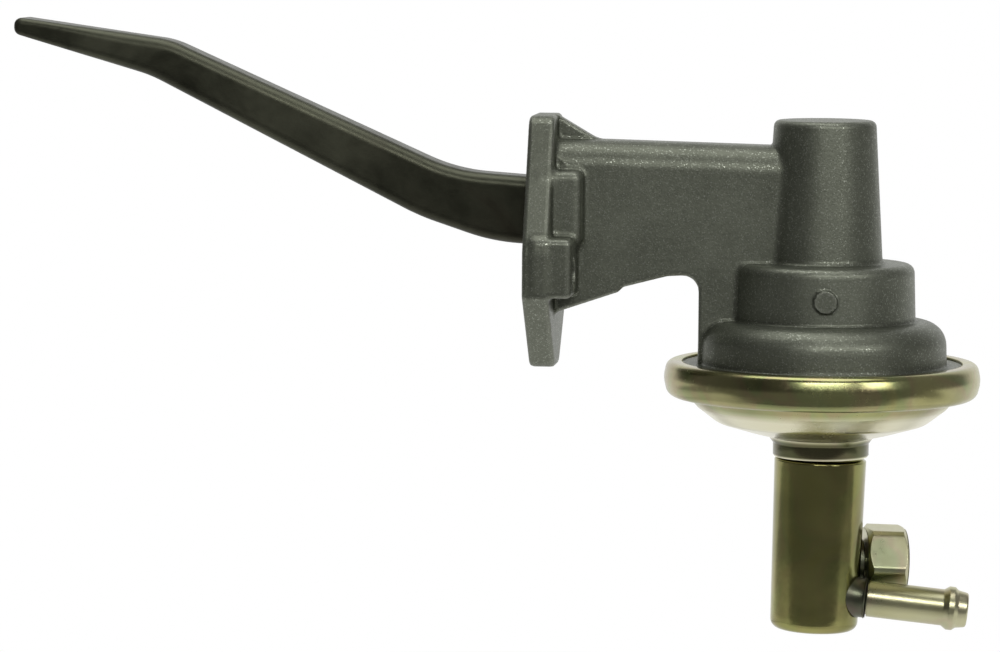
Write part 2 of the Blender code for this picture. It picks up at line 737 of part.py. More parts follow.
def build_diaphragm(parts, fabric, steel):
    """The diaphragm, clamped at its edge, between two riveted plates."""
    z = seat_levels()
    hole = ROD_R + GAP
    slope_in, slope_out = PLATE_R + 2.5 * MM, BELL_R - WALL - 1 * MM
    outer = CLAMP_R
    upper = [(hole, z["centre_top"], 0), (slope_in, z["centre_top"], 3 * MM)]
    upper += [(slope_out, z["edge_top"], 3 * MM), (outer, z["edge_top"], 0)]
    lower = [(outer, z["edge_foot"], 0), (slope_out, z["edge_foot"], 3 * MM)]
    lower += [(slope_in, z["centre_foot"], 3 * MM), (hole, z["centre_foot"], 0)]
    sheet = turned("diaphragm", filleted(upper + lower, steps=2), parts, closed=True)
    finished(sheet, fabric)
    top, base = z["upper_plate_top"], z["centre_top"] + GAP
    upper_plate = [
        (hole, top),
        (PLATE_R - PLATE_THICK, top),
        (PLATE_R - PLATE_THICK, top + PLATE_RIM),
        (PLATE_R, top + PLATE_RIM),
        (PLATE_R, base),
        (hole, base),
    ]
    finished(turned("upper_plate", upper_plate, parts, closed=True), steel)
    top, base = z["centre_foot"] - GAP, z["lower_plate_foot"]
    lower_plate = [(hole, top), (PLATE_R, top), (PLATE_R, base), (hole, base)]
    finished(turned("lower_plate", lower_plate, parts, closed=True), steel)


def cover_profile():
    """The cover's section: crimped rim, dish, throat and collar, one sheet thick."""
    edge_foot = seat_levels()["edge_foot"] - GAP
    middle = (LIP_TOP + edge_foot - SHEET) / 2
    rim_half = (LIP_TOP - edge_foot + SHEET) / 2 + 0.6 * MM
    lip_foot = CLAMP_TOP + GAP
    rim_r = CLAMP_R + RIM_BEAD
    lip_r = CLAMP_R - LIP_OVERLAP
    outside = [
        (lip_r, LIP_TOP, 0.4 * MM),
        (rim_r - 0.6 * MM, LIP_TOP, 1.8 * MM),
        (rim_r, middle, 6 * MM),
        (rim_r - 1.0 * MM, middle - rim_half, 2.4 * MM),
        (DISH_R + 3.5 * MM, middle - rim_half, 2.0 * MM),
        (DISH_R, DISH_RIM_Z - 1.0 * MM, 3 * MM),
        (DISH_R - 5.0 * MM, DISH_RIM_Z - 4.6 * MM, 5 * MM),
        (COLLAR_R + 6 * MM, DISH_RIM_Z - 7.0 * MM, 10 * MM),
        (COLLAR_R + 1.2 * MM, DISH_RIM_Z - 8.2 * MM, 1.5 * MM),
        (COLLAR_R, THROAT_Z - 0.6 * MM, 0.6 * MM),
        (COLLAR_R, COLLAR_FOOT, 0),
    ]
    inner = COLLAR_R - CAN_SHEET
    inside = [
        (inner, COLLAR_FOOT, 0),
        (inner, THROAT_Z + 1.9 * MM, 0.8 * MM),
        (COLLAR_R + 5.5 * MM, DISH_RIM_Z - 7.0 * MM + SHEET, 10 * MM),
        (DISH_R - 5.8 * MM, DISH_RIM_Z - 4.6 * MM + SHEET, 5 * MM),
        (DISH_R - 1.2 * MM, edge_foot - SHEET, 1.5 * MM),
        (DISH_R - 1.2 * MM, edge_foot, 0.8 * MM),
        (CLAMP_R + GAP, edge_foot, 0),
        (CLAMP_R + GAP, lip_foot, 0),
        (lip_r, lip_foot, 0),
    ]
    return filleted(outside, closed=False, steps=2) + filleted(inside, closed=False, steps=1)


def build_cover(parts, finish):
    """The pressed lower cover, its rim rolled over the clamp ring."""
    return finished(turned("cover", cover_profile(), parts, closed=True, steps=WIDE_ROUND), finish, 50)


def can_profile():
    """The drawn can: a joggled mouth inside the cover's collar and a closed foot."""
    mouth_r = COLLAR_R - CAN_SHEET - GAP
    mouth_top = VALVE_PLATE_Z - GAP - lean_rise(mouth_r)
    outside = [
        (0, CAN_FOOT, 0),
        (CAN_FOOT_R, CAN_FOOT, 2.2 * MM),
        (CAN_TOP_R, CAN_SHOULDER, 0.3 * MM),
        (mouth_r, CAN_SHOULDER + 0.6 * MM, 0),
        (mouth_r, mouth_top, 0),
    ]
    inside = [
        (mouth_r - CAN_SHEET, mouth_top, 0),
        (mouth_r - CAN_SHEET, CAN_SHOULDER - 0.6 * MM, 0),
        (CAN_TOP_R - CAN_SHEET, CAN_SHOULDER - CAN_SHEET, 0),
        (CAN_FOOT_R - CAN_SHEET, CAN_FOOT + CAN_SHEET, 1 * MM),
        (0, CAN_FOOT + CAN_SHEET, 0),
    ]
    return filleted(outside, closed=False, steps=3) + filleted(inside, closed=False, steps=2)


def lean_rise(radius):
    """How far the can's lean lifts a point at this radius."""
    return radius * math.sin(math.radians(CAN_LEAN))


def leaned(piece):
    """Tips a piece about the middle of the can's mouth, its foot towards the flange."""
    pivot = Matrix.Translation((AXIS_X, 0, (VALVE_PLATE_Z + CAN_SHOULDER) / 2))
    piece.data.transform(pivot @ Matrix.Rotation(math.radians(CAN_LEAN), 4, "Y") @ pivot.inverted())
    return piece


def fitting_frame(z, y, turn, droop):
    """Local +Z runs out along the fitting, from the can's axis."""
    out = Matrix.Rotation(math.radians(turn), 4, "Z") @ Matrix.Rotation(math.radians(90 + droop), 4, "Y")
    return Matrix.Translation((AXIS_X, y, z)) @ out


def inlet_frame():
    return fitting_frame(INLET_Z, INLET_Y, INLET_TURN, INLET_DROOP)


def nipple_frame():
    return fitting_frame(NIPPLE_Z, NIPPLE_Y, NIPPLE_TURN, NIPPLE_DROOP)


def can_skin(group, extra):
    """The can's outside as a plain tapered bar, for seating what is brazed on it."""
    ends = (AXIS_X, 0, CAN_FOOT - 5 * MM), (AXIS_X, 0, CAN_SHOULDER)
    return rod("can_skin", CAN_FOOT_R + extra, *ends, group, sides=ROUND, r_end=CAN_TOP_R + extra)


def build_can(parts, tools, finish):
    """The can with a hole for each fitting."""
    can = turned("canister", can_profile(), tools)
    holes = []
    for frame, radius in (
        (inlet_frame(), INLET_SPIGOT_R + GAP),
        (nipple_frame(), NIPPLE_SPIGOT_R + GAP),
    ):
        start, end = frame @ Vector((0, 0, 2 * MM)), frame @ Vector((0, 0, 2 * CAN_TOP_R))
        holes.append(rod("fitting_hole", radius, start, end, tools))
    return finished(leaned(combined(can, holes, "DIFFERENCE", parts)), finish)



def build_inlet(parts, tools, finish, braze):
    """The hexagon inlet fitting, which takes a flared pipe, and its brazed collar."""
    frame = inlet_frame()
    across = HEX_FLAT / math.sqrt(3)
    end = HEX_START + HEX_LENGTH
    hexagon = rod("hexagon", across, (0, 0, HEX_START), (0, 0, end), tools, sides=6)
    hexagon.data.transform(Matrix.Rotation(math.radians(30 + HEX_ROLL), 4, "Z"))
    face = HEX_FLAT / 2 - 0.2 * MM
    crown = [
        (0, end, 0),
        (face, end, 0),
        (across + 0.3 * MM, end - HEX_CHAMFER, 0),
        (across + 0.3 * MM, HEX_START + HEX_CHAMFER, 0),
        (face, HEX_START, 0),
        (0, HEX_START, 0),
    ]
    limit = turned("crown", filleted(crown, closed=False), tools, (0, 0, 0))
    fitting = combined(hexagon, [limit], "INTERSECT", tools)
    spigot = rod("spigot", INLET_SPIGOT_R, (0, 0, SPIGOT_IN), (0, 0, HEX_START + 1 * MM), tools)
    fitting = combined(fitting, [spigot], "UNION", tools)
    bore = [
        (0, end + 1 * MM, 0),
        (INLET_BORE_R + 1.6 * MM, end + 1 * MM, 0),
        (INLET_BORE_R, end - 0.6 * MM, 0),
        (INLET_BORE_R, HEX_START + 2.6 * MM, 0),
        (INLET_PORT_R, HEX_START + 0.6 * MM, 0),
        (INLET_PORT_R, SPIGOT_IN - 1 * MM, 0),
        (0, SPIGOT_IN - 1 * MM, 0),
    ]
    cutter = turned("inlet_bore", filleted(bore, closed=False), tools, (0, 0, 0), steps=SMALL_ROUND)
    fitting = combined(fitting, [cutter], "DIFFERENCE", parts)
    fitting.name = "inlet_fitting"
    fitting.data.transform(frame)
    finished(leaned(fitting), finish, 30)
    collar_end = HEX_START - GAP
    boss = [
        (0, collar_end, 0),
        (INLET_COLLAR_R - 0.6 * MM, collar_end, 0.5 * MM),
        (INLET_COLLAR_R, collar_end - 2.2 * MM, 1 * MM),
        (INLET_COLLAR_R, INLET_BOSS_START, 2 * MM),
        (0, INLET_BOSS_START, 0),
    ]
    collar = turned("inlet_collar", filleted(boss, closed=False), tools, (0, 0, 0), steps=SMALL_ROUND)
    seat = rod("spigot_seat", INLET_SPIGOT_R + GAP, (0, 0, SPIGOT_IN - GAP), (0, 0, HEX_START), tools)
    port = rod("port", INLET_PORT_R, (0, 0, -1 * MM), (0, 0, SPIGOT_IN), tools)
    collar = combined(collar, [seat, port], "DIFFERENCE", tools)
    collar.data.transform(frame)
    collar = combined(collar, [can_skin(tools, GAP)], "DIFFERENCE", parts)
    finished(leaned(collar), braze, 40)


def build_nipple(parts, tools, finish, braze):
    """The outlet nipple with a hose bead near its end, and its brazed collar."""
    frame = nipple_frame()
    end = NIPPLE_LENGTH
    bead = end - 4.2 * MM
    shoulder = NIPPLE_COLLAR_END + GAP
    outside = [
        (NIPPLE_BORE_R, end, 0),
        (NIPPLE_R - 0.3 * MM, end, 0.7 * MM),
        (NIPPLE_R + 0.15 * MM, bead + 1.6 * MM, 0.8 * MM),
        (NIPPLE_BEAD_R, bead + 0.7 * MM, 0.6 * MM),
        (NIPPLE_BEAD_R, bead - 0.7 * MM, 0.6 * MM),
        (NIPPLE_R, bead - 2.0 * MM, 0.8 * MM),
        (NIPPLE_R, shoulder, 0),
        (NIPPLE_SPIGOT_R, shoulder, 0),
        (NIPPLE_SPIGOT_R, SPIGOT_IN, 0),
        (NIPPLE_BORE_R, SPIGOT_IN, 0),
    ]
    nipple = turned("outlet_nipple", filleted(outside, steps=2), parts, (0, 0, 0), closed=True, steps=24)
    nipple.data.transform(frame)
    finished(leaned(nipple), finish, 40)
    inner = NIPPLE_SPIGOT_R + GAP
    ring = [
        (inner, NIPPLE_COLLAR_END, 0),
        (NIPPLE_R + 0.2 * MM, NIPPLE_COLLAR_END, 0.3 * MM),
        (NIPPLE_COLLAR_R, NIPPLE_COLLAR_END - 1.6 * MM, 0.8 * MM),
        (NIPPLE_COLLAR_R, 3 * MM, 0),
        (inner, 3 * MM, 0),
    ]
    collar = turned("nipple_collar", filleted(ring, steps=3), tools, (0, 0, 0), closed=True, steps=SMALL_ROUND)
    collar.data.transform(frame)
    collar = combined(collar, [can_skin(tools, GAP)], "DIFFERENCE", parts)
    finished(leaned(collar), braze, 40)



def build_valve_plate(parts, tools, steel):
    """The plate over the can's mouth, with a port for each valve."""
    radius = COLLAR_R - CAN_SHEET - GAP
    top = VALVE_PLATE_Z + VALVE_PLATE_THICK
    body = [(0, top), (radius, top), (radius, VALVE_PLATE_Z), (0, VALVE_PLATE_Z)]
    disc = turned("valve_plate", body, tools)
    ports = []
    for side in (-1, 1):
        y = side * VALVE_OFFSET
        ends = (AXIS_X, y, VALVE_PLATE_Z - 1 * MM), (AXIS_X, y, top + 1 * MM)
        ports.append(rod("port", PORT_R, *ends, tools))
    finished(combined(disc, ports, "DIFFERENCE", parts), steel)


def cage_shape(name, parts, tools, seat, away, y, finish):
    """A small windowed cup over a valve; seat is the plate's face, away is up or down."""
    foot, top = GAP, CAGE_HEIGHT + GAP
    corners = [
        (0, top, 0),
        (CAGE_R, top, 0.4 * MM),
        (CAGE_R, foot, 0),
        (CAGE_R - CAGE_SHEET, foot, 0),
        (CAGE_R - CAGE_SHEET, top - CAGE_SHEET, 0),
        (0, top - CAGE_SHEET, 0),
    ]
    cage = turned(name, filleted(corners, False, 2), tools, (0, 0, 0), steps=SMALL_ROUND)
    windows = []
    for k in range(3):
        low, high = (CAGE_R / 2, -1.3 * MM, foot + 1.2 * MM), (2 * CAGE_R, 1.3 * MM, top - 1.1 * MM)
        window = block("window", low, high, tools)
        window.data.transform(Matrix.Rotation(2 * math.pi * k / 3, 4, "Z"))
        windows.append(window)
    cage = combined(cage, windows, "DIFFERENCE", parts)
    flip = Matrix.Identity(4) if away > 0 else Matrix.Rotation(math.pi, 4, "X")
    cage.data.transform(Matrix.Translation((AXIS_X, y, seat)) @ flip)
    finished(cage, finish)


def build_valve(name, parts, tools, seat, away, y, rubber, steel):
    """One check valve: a disc on its seat, a light spring and the cage above them."""
    low, high = seat + away * GAP, seat + away * (GAP + VALVE_DISC_THICK)
    disc = rod(name + "_disc", VALVE_DISC_R, (AXIS_X, y, min(low, high)), (AXIS_X, y, max(low, high)), parts)
    origin_at(disc, (AXIS_X, y, low))
    finished(disc, rubber)
    spring_near = seat + away * (2 * GAP + VALVE_DISC_THICK)
    spring_far = seat + away * (CAGE_HEIGHT - CAGE_SHEET)
    ends = sorted((spring_near, spring_far))
    spring = coil(name + "_spring", VALVE_SPRING_R, VALVE_SPRING_WIRE, *ends, 3, parts, per_turn=8)
    spring.location = (AXIS_X, y, 0)
    finished(spring, steel)
    cage_shape(name + "_cage", parts, tools, seat, away, y, steel)


def build_divider(parts, finish):
    """The upright plate that parts the inlet side of the can from the outlet side."""
    half_mouth = COLLAR_R - 2 * CAN_SHEET - 2 * GAP
    top = VALVE_PLATE_Z - GAP - lean_rise(half_mouth)
    half_foot = CAN_FOOT_R - CAN_SHEET - 3 * GAP
    outline = [
        (AXIS_X - half_mouth, top),
        (AXIS_X + half_mouth, top),
        (AXIS_X + half_mouth, CAN_SHOULDER),
        (AXIS_X + half_foot, DIVIDER_FOOT),
        (AXIS_X - half_foot, DIVIDER_FOOT),
        (AXIS_X - half_mouth, CAN_SHOULDER),
    ]
    divider = plate("divider_plate", outline, DIVIDER_THICK, parts, across_y(0))
    axis = Matrix.Translation((AXIS_X, 0, 0))
    divider.data.transform(axis @ Matrix.Rotation(math.radians(DIVIDER_TURN), 4, "Z") @ axis.inverted())
    finished(leaned(divider), finish)


def clear_scene():
    for old in list(bpy.data.objects):
        bpy.data.objects.remove(old)


def main():
    clear_scene()
    parts = collection("diesel_lift_pump")
    tools = collection("shaping_tools")
    cast = material("cast_alloy", ALLOY, 0.55, 0.7)
    forged = material("forged_steel", STEEL, 0.5, 0.8)
    bright = material("bright_steel", (0.55, 0.55, 0.54), 0.3, 1.0)
    spring_wire = material("spring_wire", (0.35, 0.36, 0.38), 0.35, 1.0)
    plated = material("plated_steel", ZINC, 0.3, 0.9)
    plated_can = material("plated_can", ZINC, 0.28, 0.9)
    plated_fitting = material("plated_fitting", (0.60, 0.58, 0.40), 0.3, 0.9)
    braze = material("braze", (0.42, 0.38, 0.22), 0.35, 0.9)
    rubber = material("black_rubber", (0.03, 0.03, 0.03), 0.8, 0.0)
    fabric = material("rubbered_fabric", (0.06, 0.05, 0.05), 0.85, 0.0)

    build_housing(parts, tools, cast)
    build_arm(parts, tools, forged)
    build_pin(parts, bright)
    build_pin_plug(parts, bright)
    build_pull_rod(parts, bright)
    build_spring_cup(parts, bright)
    build_springs(parts, spring_wire)
    build_seal(parts, rubber, bright)
    build_diaphragm(parts, fabric, bright)
    build_cover(parts, plated)
    build_can(parts, tools, plated_can)
    build_inlet(parts, tools, plated_fitting, braze)
    build_nipple(parts, tools, plated_fitting, braze)
    build_valve_plate(parts, tools, bright)
    plate_top = VALVE_PLATE_Z + VALVE_PLATE_THICK
    build_valve("inlet_valve", parts, tools, plate_top, 1, VALVE_OFFSET, rubber, spring_wire)
    build_valve("outlet_valve", parts, tools, VALVE_PLATE_Z, -1, -VALVE_OFFSET, rubber, spring_wire)
    build_divider(parts, bright)


main()
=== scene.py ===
# %% [markdown]
# A diesel engine's mechanical lift pump, dressed for a catalogue photograph. The CAD frame holds the real
# sizes and everything that moves. This lesson gives it its skin: a sparkling die-cast body, an oiled forged
# arm and yellow-chromated pressed steel. The frame is loaded first, and its box is kept, because no piece
# made here may leave it.

# %% Load the frame
import json
import math

import bpy
import numpy as np
from mathutils import Matrix, Vector


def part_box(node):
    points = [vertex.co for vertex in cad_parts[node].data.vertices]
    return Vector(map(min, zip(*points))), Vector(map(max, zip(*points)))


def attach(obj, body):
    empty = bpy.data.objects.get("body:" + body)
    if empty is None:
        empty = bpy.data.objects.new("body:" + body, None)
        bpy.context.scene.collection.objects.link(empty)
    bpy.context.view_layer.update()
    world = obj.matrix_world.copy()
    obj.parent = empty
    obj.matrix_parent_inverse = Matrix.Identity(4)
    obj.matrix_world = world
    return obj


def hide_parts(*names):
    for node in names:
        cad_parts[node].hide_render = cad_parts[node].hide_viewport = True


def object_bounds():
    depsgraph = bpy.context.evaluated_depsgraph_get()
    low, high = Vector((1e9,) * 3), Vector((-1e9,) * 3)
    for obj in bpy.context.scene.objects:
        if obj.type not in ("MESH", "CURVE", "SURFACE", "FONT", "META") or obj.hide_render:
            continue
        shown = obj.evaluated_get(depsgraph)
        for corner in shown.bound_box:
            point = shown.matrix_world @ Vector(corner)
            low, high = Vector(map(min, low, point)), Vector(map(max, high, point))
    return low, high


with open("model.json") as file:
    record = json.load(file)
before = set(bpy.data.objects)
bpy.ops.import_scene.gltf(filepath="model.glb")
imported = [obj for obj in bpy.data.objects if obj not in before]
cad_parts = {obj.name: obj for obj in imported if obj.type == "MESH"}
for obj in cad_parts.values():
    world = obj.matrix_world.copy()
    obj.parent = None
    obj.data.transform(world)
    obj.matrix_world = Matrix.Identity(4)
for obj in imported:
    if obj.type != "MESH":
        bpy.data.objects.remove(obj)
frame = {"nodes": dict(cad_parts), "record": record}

cad_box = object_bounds()
print("CAD box in metres:", [tuple(round(v, 4) for v in corner) for corner in cad_box])

# %% [markdown]
# All the shapes below are written in millimetres, as on a drawing, and become metres when the mesh is made.
# The pump stands upright: X runs from the engine's face along the neck, Z up along the pump's axis. The
# main sizes are read from the frame's own nodes where they can be, so the skin stays on its bones.

# %% The drawing's main sizes, in millimetres
MM = 0.001


def node_box(name):
    """A CAD node's lowest and highest corner, in millimetres."""
    low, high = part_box(name)
    return np.array(low) / MM, np.array(high) / MM


rod_low, rod_high = node_box("pull_rod")
pin_low, pin_high = node_box("rocker_pin")
_, cover_high = node_box("cover")
AXIS_X = float(rod_low[0] + rod_high[0]) / 2
PIVOT_X = float(pin_low[0] + pin_high[0]) / 2
PIVOT_Z = float(pin_low[2] + pin_high[2]) / 2
RIM_R = float(cover_high[1])
LIP_TOP = float(cover_high[2])
print(f"pump axis at x {AXIS_X:.1f}, pivot at {PIVOT_X:.1f}, {PIVOT_Z:.1f}, rim radius {RIM_R:.2f}")

# %% [markdown]
# Sharp corners never look real on castings or pressings. This helper draws an outline from its corners and
# rounds each with an arc, the way a draughtsman would fillet it. An arc between two straight lines touches
# both, so its centre lies on the corner's bisector at radius / sin(half the corner's angle).

# %% Outlines with rounded corners
def rounded(corners, steps=6):
    """Corners (u, v, radius) joined by lines, each corner replaced by a tangent arc of its radius."""
    out = []
    for i, (u, v, radius) in enumerate(corners):
        here = np.array([u, v], float)
        if radius == 0:
            out.append(here[None, :])
            continue
        back = np.array(corners[i - 1][:2]) - here
        ahead = np.array(corners[(i + 1) % len(corners)][:2]) - here
        back, ahead = back / np.hypot(*back), ahead / np.hypot(*ahead)
        half = math.acos(np.clip(back @ ahead, -1, 1)) / 2
        centre = here + (back + ahead) / np.hypot(*(back + ahead)) * radius / math.sin(half)
        start = here + back * radius / math.tan(half) - centre
        side = -np.sign(back[0] * ahead[1] - back[1] * ahead[0])
        turn = side * (math.pi - 2 * half) * np.linspace(0, 1, steps + 1)
        cos, sin = np.cos(turn), np.sin(turn)
        arc = np.stack([start[0] * cos - start[1] * sin, start[0] * sin + start[1] * cos], 1)
        out.append(centre + arc)
    return np.concatenate(out)


def densified(outline, spacing):
    """The same closed outline with extra points on its straight runs: start + (end - start) * share."""
    return np.concatenate([
        a + (b - a) * np.linspace(0, 1, max(int(np.hypot(*(b - a)) / spacing), 1) + 1)[:-1, None]
        for a, b in zip(outline, np.roll(outline, -1, 0))
    ])


# %% [markdown]
# A casting is the hard shape here. Its neck runs into a tapered tower, a barrel and a bell, and the foundry
# leaves a soft fillet wherever two of them meet. Booleans give knife-sharp joints, so the body is written
# as a distance field instead: a function that tells how far a point is from the metal, negative inside.
# Fields are joined with a smooth minimum, which pours a fillet of a chosen radius into every corner.

# %% Distance fields
def outline_field(u, v, outline):
    """Signed distance to a closed outline: the nearest edge, negative where a ray crosses an odd number
    of edges.
    """
    nearest = np.full(np.broadcast(u, v).shape, 1e9, np.float32)
    inside = np.zeros(nearest.shape, bool)
    for (au, av), (bu, bv) in zip(outline, np.roll(outline, -1, 0)):
        eu, ev = bu - au, bv - av
        along = np.clip(((u - au) * eu + (v - av) * ev) / max(eu * eu + ev * ev, 1e-12), 0, 1)
        nearest = np.minimum(nearest, (u - au - along * eu) ** 2 + (v - av - along * ev) ** 2)
        if av != bv:
            inside ^= ((av > v) != (bv > v)) & (u < au + (v - av) * eu / ev)
    return np.sqrt(nearest) * np.where(inside, -1, 1)


def joined(a, b, fillet):
    """Smooth minimum: the union of two fields with a fillet in the corner between them."""
    h = np.clip(0.5 + 0.5 * (b - a) / fillet, 0, 1)
    return b + (a - b) * h - fillet * h * (1 - h)


def overlap(a, b, edge):
    """The intersection of two fields, its outer edge rounded to the radius edge."""
    u, v = a + edge, b + edge
    corner = np.hypot(np.maximum(u, 0), np.maximum(v, 0))
    return corner + np.minimum(np.maximum(u, v), 0) - edge


def cut(a, b, edge=0.3):
    """Field a with field b taken away, its lip softened by edge."""
    return -joined(-a, b, edge)


def slab(t, low, high):
    """Distance to the space between two parallel planes."""
    return np.abs(t - (low + high) / 2) - (high - low) / 2


def brick(x, y, z, low, high, edge):
    """A box with rounded edges: the length of the outside distances along x, y and z, less the edge's
    radius.
    """
    d = [slab(t, a, b) + edge for t, a, b in zip((x, y, z), low, high)]
    out = np.sqrt(sum(np.maximum(t, 0) ** 2 for t in d))
    return out + np.minimum(np.maximum(np.maximum(d[0], d[1]), d[2]), 0) - edge


def eased(t, low, high):
    """0 below low, 1 above high and a smooth step between them."""
    t = np.clip((t - low) / (high - low), 0, 1)
    return t * t * (3 - 2 * t)


# %% [markdown]
# To see a field it needs a mesh. Surface nets do it: space is cut into small cells, every cell that the
# surface crosses gets one point, and neighbouring points are joined into quads. Each point is then slid
# along the field's slope until the field reads zero, so the skin is as smooth as the formula and not as the
# grid.

# %% Turning a field into a skin
def slope(field, points, step=0.12):
    """The field's gradient at each point, by central differences."""
    parts = []
    for axis in range(3):
        shift = np.zeros(3)
        shift[axis] = step
        ahead, behind = points + shift, points - shift
        parts.append((field(*ahead.T) - field(*behind.T)) / (2 * step))
    return np.stack(parts, 1)


def net_of(field, low, high, cell):
    """Surface nets over a box: points on the field's zero level, and quads that face outwards."""
    axes = [np.arange(a, b + cell, cell, dtype=np.float32) for a, b in zip(low, high)]
    x, y, z = axes[0][:, None, None], axes[1][None, :, None], axes[2][None, None, :]
    value = np.broadcast_to(field(x, y, z), [len(a) for a in axes]).astype(np.float32)
    solid = value < 0
    corners = [(i, j, k) for i in (0, 1) for j in (0, 1) for k in (0, 1)]
    size = np.array(value.shape) - 1

    def corner(a, c):
        """The values at one of the eight corners of every cell."""
        return a[c[0]:c[0] + size[0], c[1]:c[1] + size[1], c[2]:c[2] + size[2]]

    count = sum(corner(solid, c).astype(np.int8) for c in corners)
    cells = np.argwhere((count > 0) & (count < 8))
    total, hits = np.zeros((len(cells), 3)), np.zeros(len(cells))
    for a in corners:
        for axis in range(3):
            if a[axis]:
                continue
            b = tuple(v + (n == axis) for n, v in enumerate(a))
            va, vb = value[tuple((cells + a).T)], value[tuple((cells + b).T)]
            crossed = (va < 0) != (vb < 0)
            share = np.where(crossed, va / np.where(va == vb, 1, va - vb), 0)
            at = cells + np.array(a, float)
            at[:, axis] += share
            total += at * crossed[:, None]
            hits += crossed
    points = np.array(low) + total / hits[:, None] * cell
    number = np.full(size, -1)
    number[tuple(cells.T)] = np.arange(len(cells))
    quads = []
    for axis in range(3):
        first, second = (axis + 1) % 3, (axis + 2) % 3
        ahead = np.moveaxis(solid, axis, 0)
        start, end = np.moveaxis(ahead[:-1], 0, axis), np.moveaxis(ahead[1:], 0, axis)
        edges = np.argwhere(start != end)
        edges = edges[(edges[:, first] > 0) & (edges[:, second] > 0)]
        edges = edges[(edges[:, first] < size[first]) & (edges[:, second] < size[second])]
        ring = []
        for df, ds in ((1, 1), (0, 1), (0, 0), (1, 0)):
            at = edges.copy()
            at[:, first] -= df
            at[:, second] -= ds
            ring.append(number[tuple(at.T)])
        ring = np.stack(ring, 1)
        leaving = start[tuple(edges.T)]
        quads.append(np.where(leaving[:, None], ring, ring[:, ::-1]))
    for _ in range(3):
        g = slope(field, points)
        step = field(*points.T) / np.maximum((g * g).sum(1), 0.25)
        points = points - np.clip(step, -cell / 3, cell / 3)[:, None] * g
    return points, np.concatenate(quads)


def piece(name, points, faces, body, nodes=(), smooth_angle=40):
    """A finished piece at the origin: its mesh in metres, riding on a CAD body and standing for CAD nodes."""
    mesh = bpy.data.meshes.new(name)
    faces = np.asarray(faces)
    mesh.vertices.add(len(points))
    mesh.vertices.foreach_set("co", (np.asarray(points) * MM).astype(np.float32).ravel())
    sides = faces.shape[1]
    mesh.loops.add(faces.size)
    mesh.loops.foreach_set("vertex_index", faces.astype(np.int32).ravel())
    mesh.polygons.add(len(faces))
    mesh.polygons.foreach_set("loop_start", np.arange(0, faces.size, sides, dtype=np.int32))
    mesh.update(calc_edges=True)
    mesh.validate()
    mesh.shade_smooth()
    if smooth_angle:
        mesh.set_sharp_from_angle(angle=math.radians(smooth_angle))
    thing = bpy.data.objects.new(name, mesh)
    bpy.context.scene.collection.objects.link(thing)
    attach(thing, body)
    if nodes:
        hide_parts(*nodes)
    print(f"{name}: {len(points)} points, {len(faces)} faces")
    return thing


BEND_REACH = 1.1


def with_normals(thing, field):
    """Shades a skin by its field's own slope, and keeps two numbers a point for the finishes.

    bend is the field's Laplacian, the sum of six neighbours less six times the point, over reach squared: it is
    high on outer edges and below zero in fillets. rise is how far the surface faces up.
    """
    points = np.empty(len(thing.data.vertices) * 3, np.float32)
    thing.data.vertices.foreach_get("co", points)
    points = points.reshape(-1, 3).astype(float) / MM
    normal = slope(field, points)
    normal /= np.maximum(np.linalg.norm(normal, axis=1), 1e-9)[:, None]
    thing.data.normals_split_custom_set_from_vertices(normal)
    steps = [side * BEND_REACH * np.eye(3)[axis] for axis in range(3) for side in (-1, 1)]
    around = sum(field(*(points + step).T) for step in steps)
    bend = (around - 6 * field(*points.T)) / (BEND_REACH * BEND_REACH)
    attribute = thing.data.attributes.new("bend", "FLOAT", "POINT")
    attribute.data.foreach_set("value", bend.astype(np.float32))
    rise = thing.data.attributes.new("rise", "FLOAT", "POINT")
    rise.data.foreach_set("value", normal[:, 2].astype(np.float32))
    return thing


# %% [markdown]
# The body's drawing. The flange is a plate with a flat top, sides that slope out to the bolt bosses and a
# narrow foot. The neck is a side view carried across, its roof rounded much more than its other edges.
# Tower, barrel, bell and clamp ring are turned about the pump's axis, so they are outlines in radius and
# height.

# %% The cast body's outlines
FLANGE_THICK = 6.6
NECK_HALF = 9.7
CLAMP_TOP, CLAMP_THICK, CLAMP_R = -30.3, 3.0, 35.9
BARREL_TOP, BARREL_FOOT = -4.7, -19.2
BOLT_OUT, BOLT_DOWN, BOLT_R = 17.3, 6.8, 4.3
PIN_BORE_R, PLUG_BORE_R = 3.08, 4.6
MARK_ASIDE, MARK_DOWN, MARK_R, MARK_FACE = 1.6, 12.8, 2.85, -23.8

flange_half = [(10.5, 31.9, 4.5), (25.0, -1.0, 8.0), (25.0, -12.9, 2.0), (5.5, -32.0, 5.0)]
flange_outline = rounded([(-y, z, r) for y, z, r in reversed(flange_half)] + flange_half)
neck_outline = rounded([
    (3.3, 25.7, 0), (17.0, 25.7, 0), (73.8, 24.4, 0), (73.8, -31.8, 0), (43.0, -31.8, 0),
    (43.0, -7.6, 4.0), (35.0, -8.1, 6.0), (24.0, -11.0, 1.0), (22.7, -12.3, 0.8), (6.6, -17.8, 0),
    (3.3, -17.8, 0),
])
rib_outline = np.array([(2.0, 31.6), (6.6, 31.6), (17.0, 25.5), (17.0, 22.5), (2.0, 22.5)])
tower_outline = rounded([(-9, 31.2, 0), (12.8, 31.2, 1.6), (14.8, -3.0, 0), (15.0, -6.0, 0), (-9, -6.0, 0)])
barrel_outline = rounded([
    (-9, BARREL_TOP, 0), (22.9, BARREL_TOP, 2.3), (23.4, BARREL_FOOT - 0.8, 0), (-9, BARREL_FOOT - 0.8, 0),
])
bell_outline = rounded([
    (-9, BARREL_FOOT, 0), (31.0, BARREL_FOOT, 6.0), (31.4, CLAMP_TOP - 1, 0), (-9, CLAMP_TOP - 1, 0),
], steps=10)
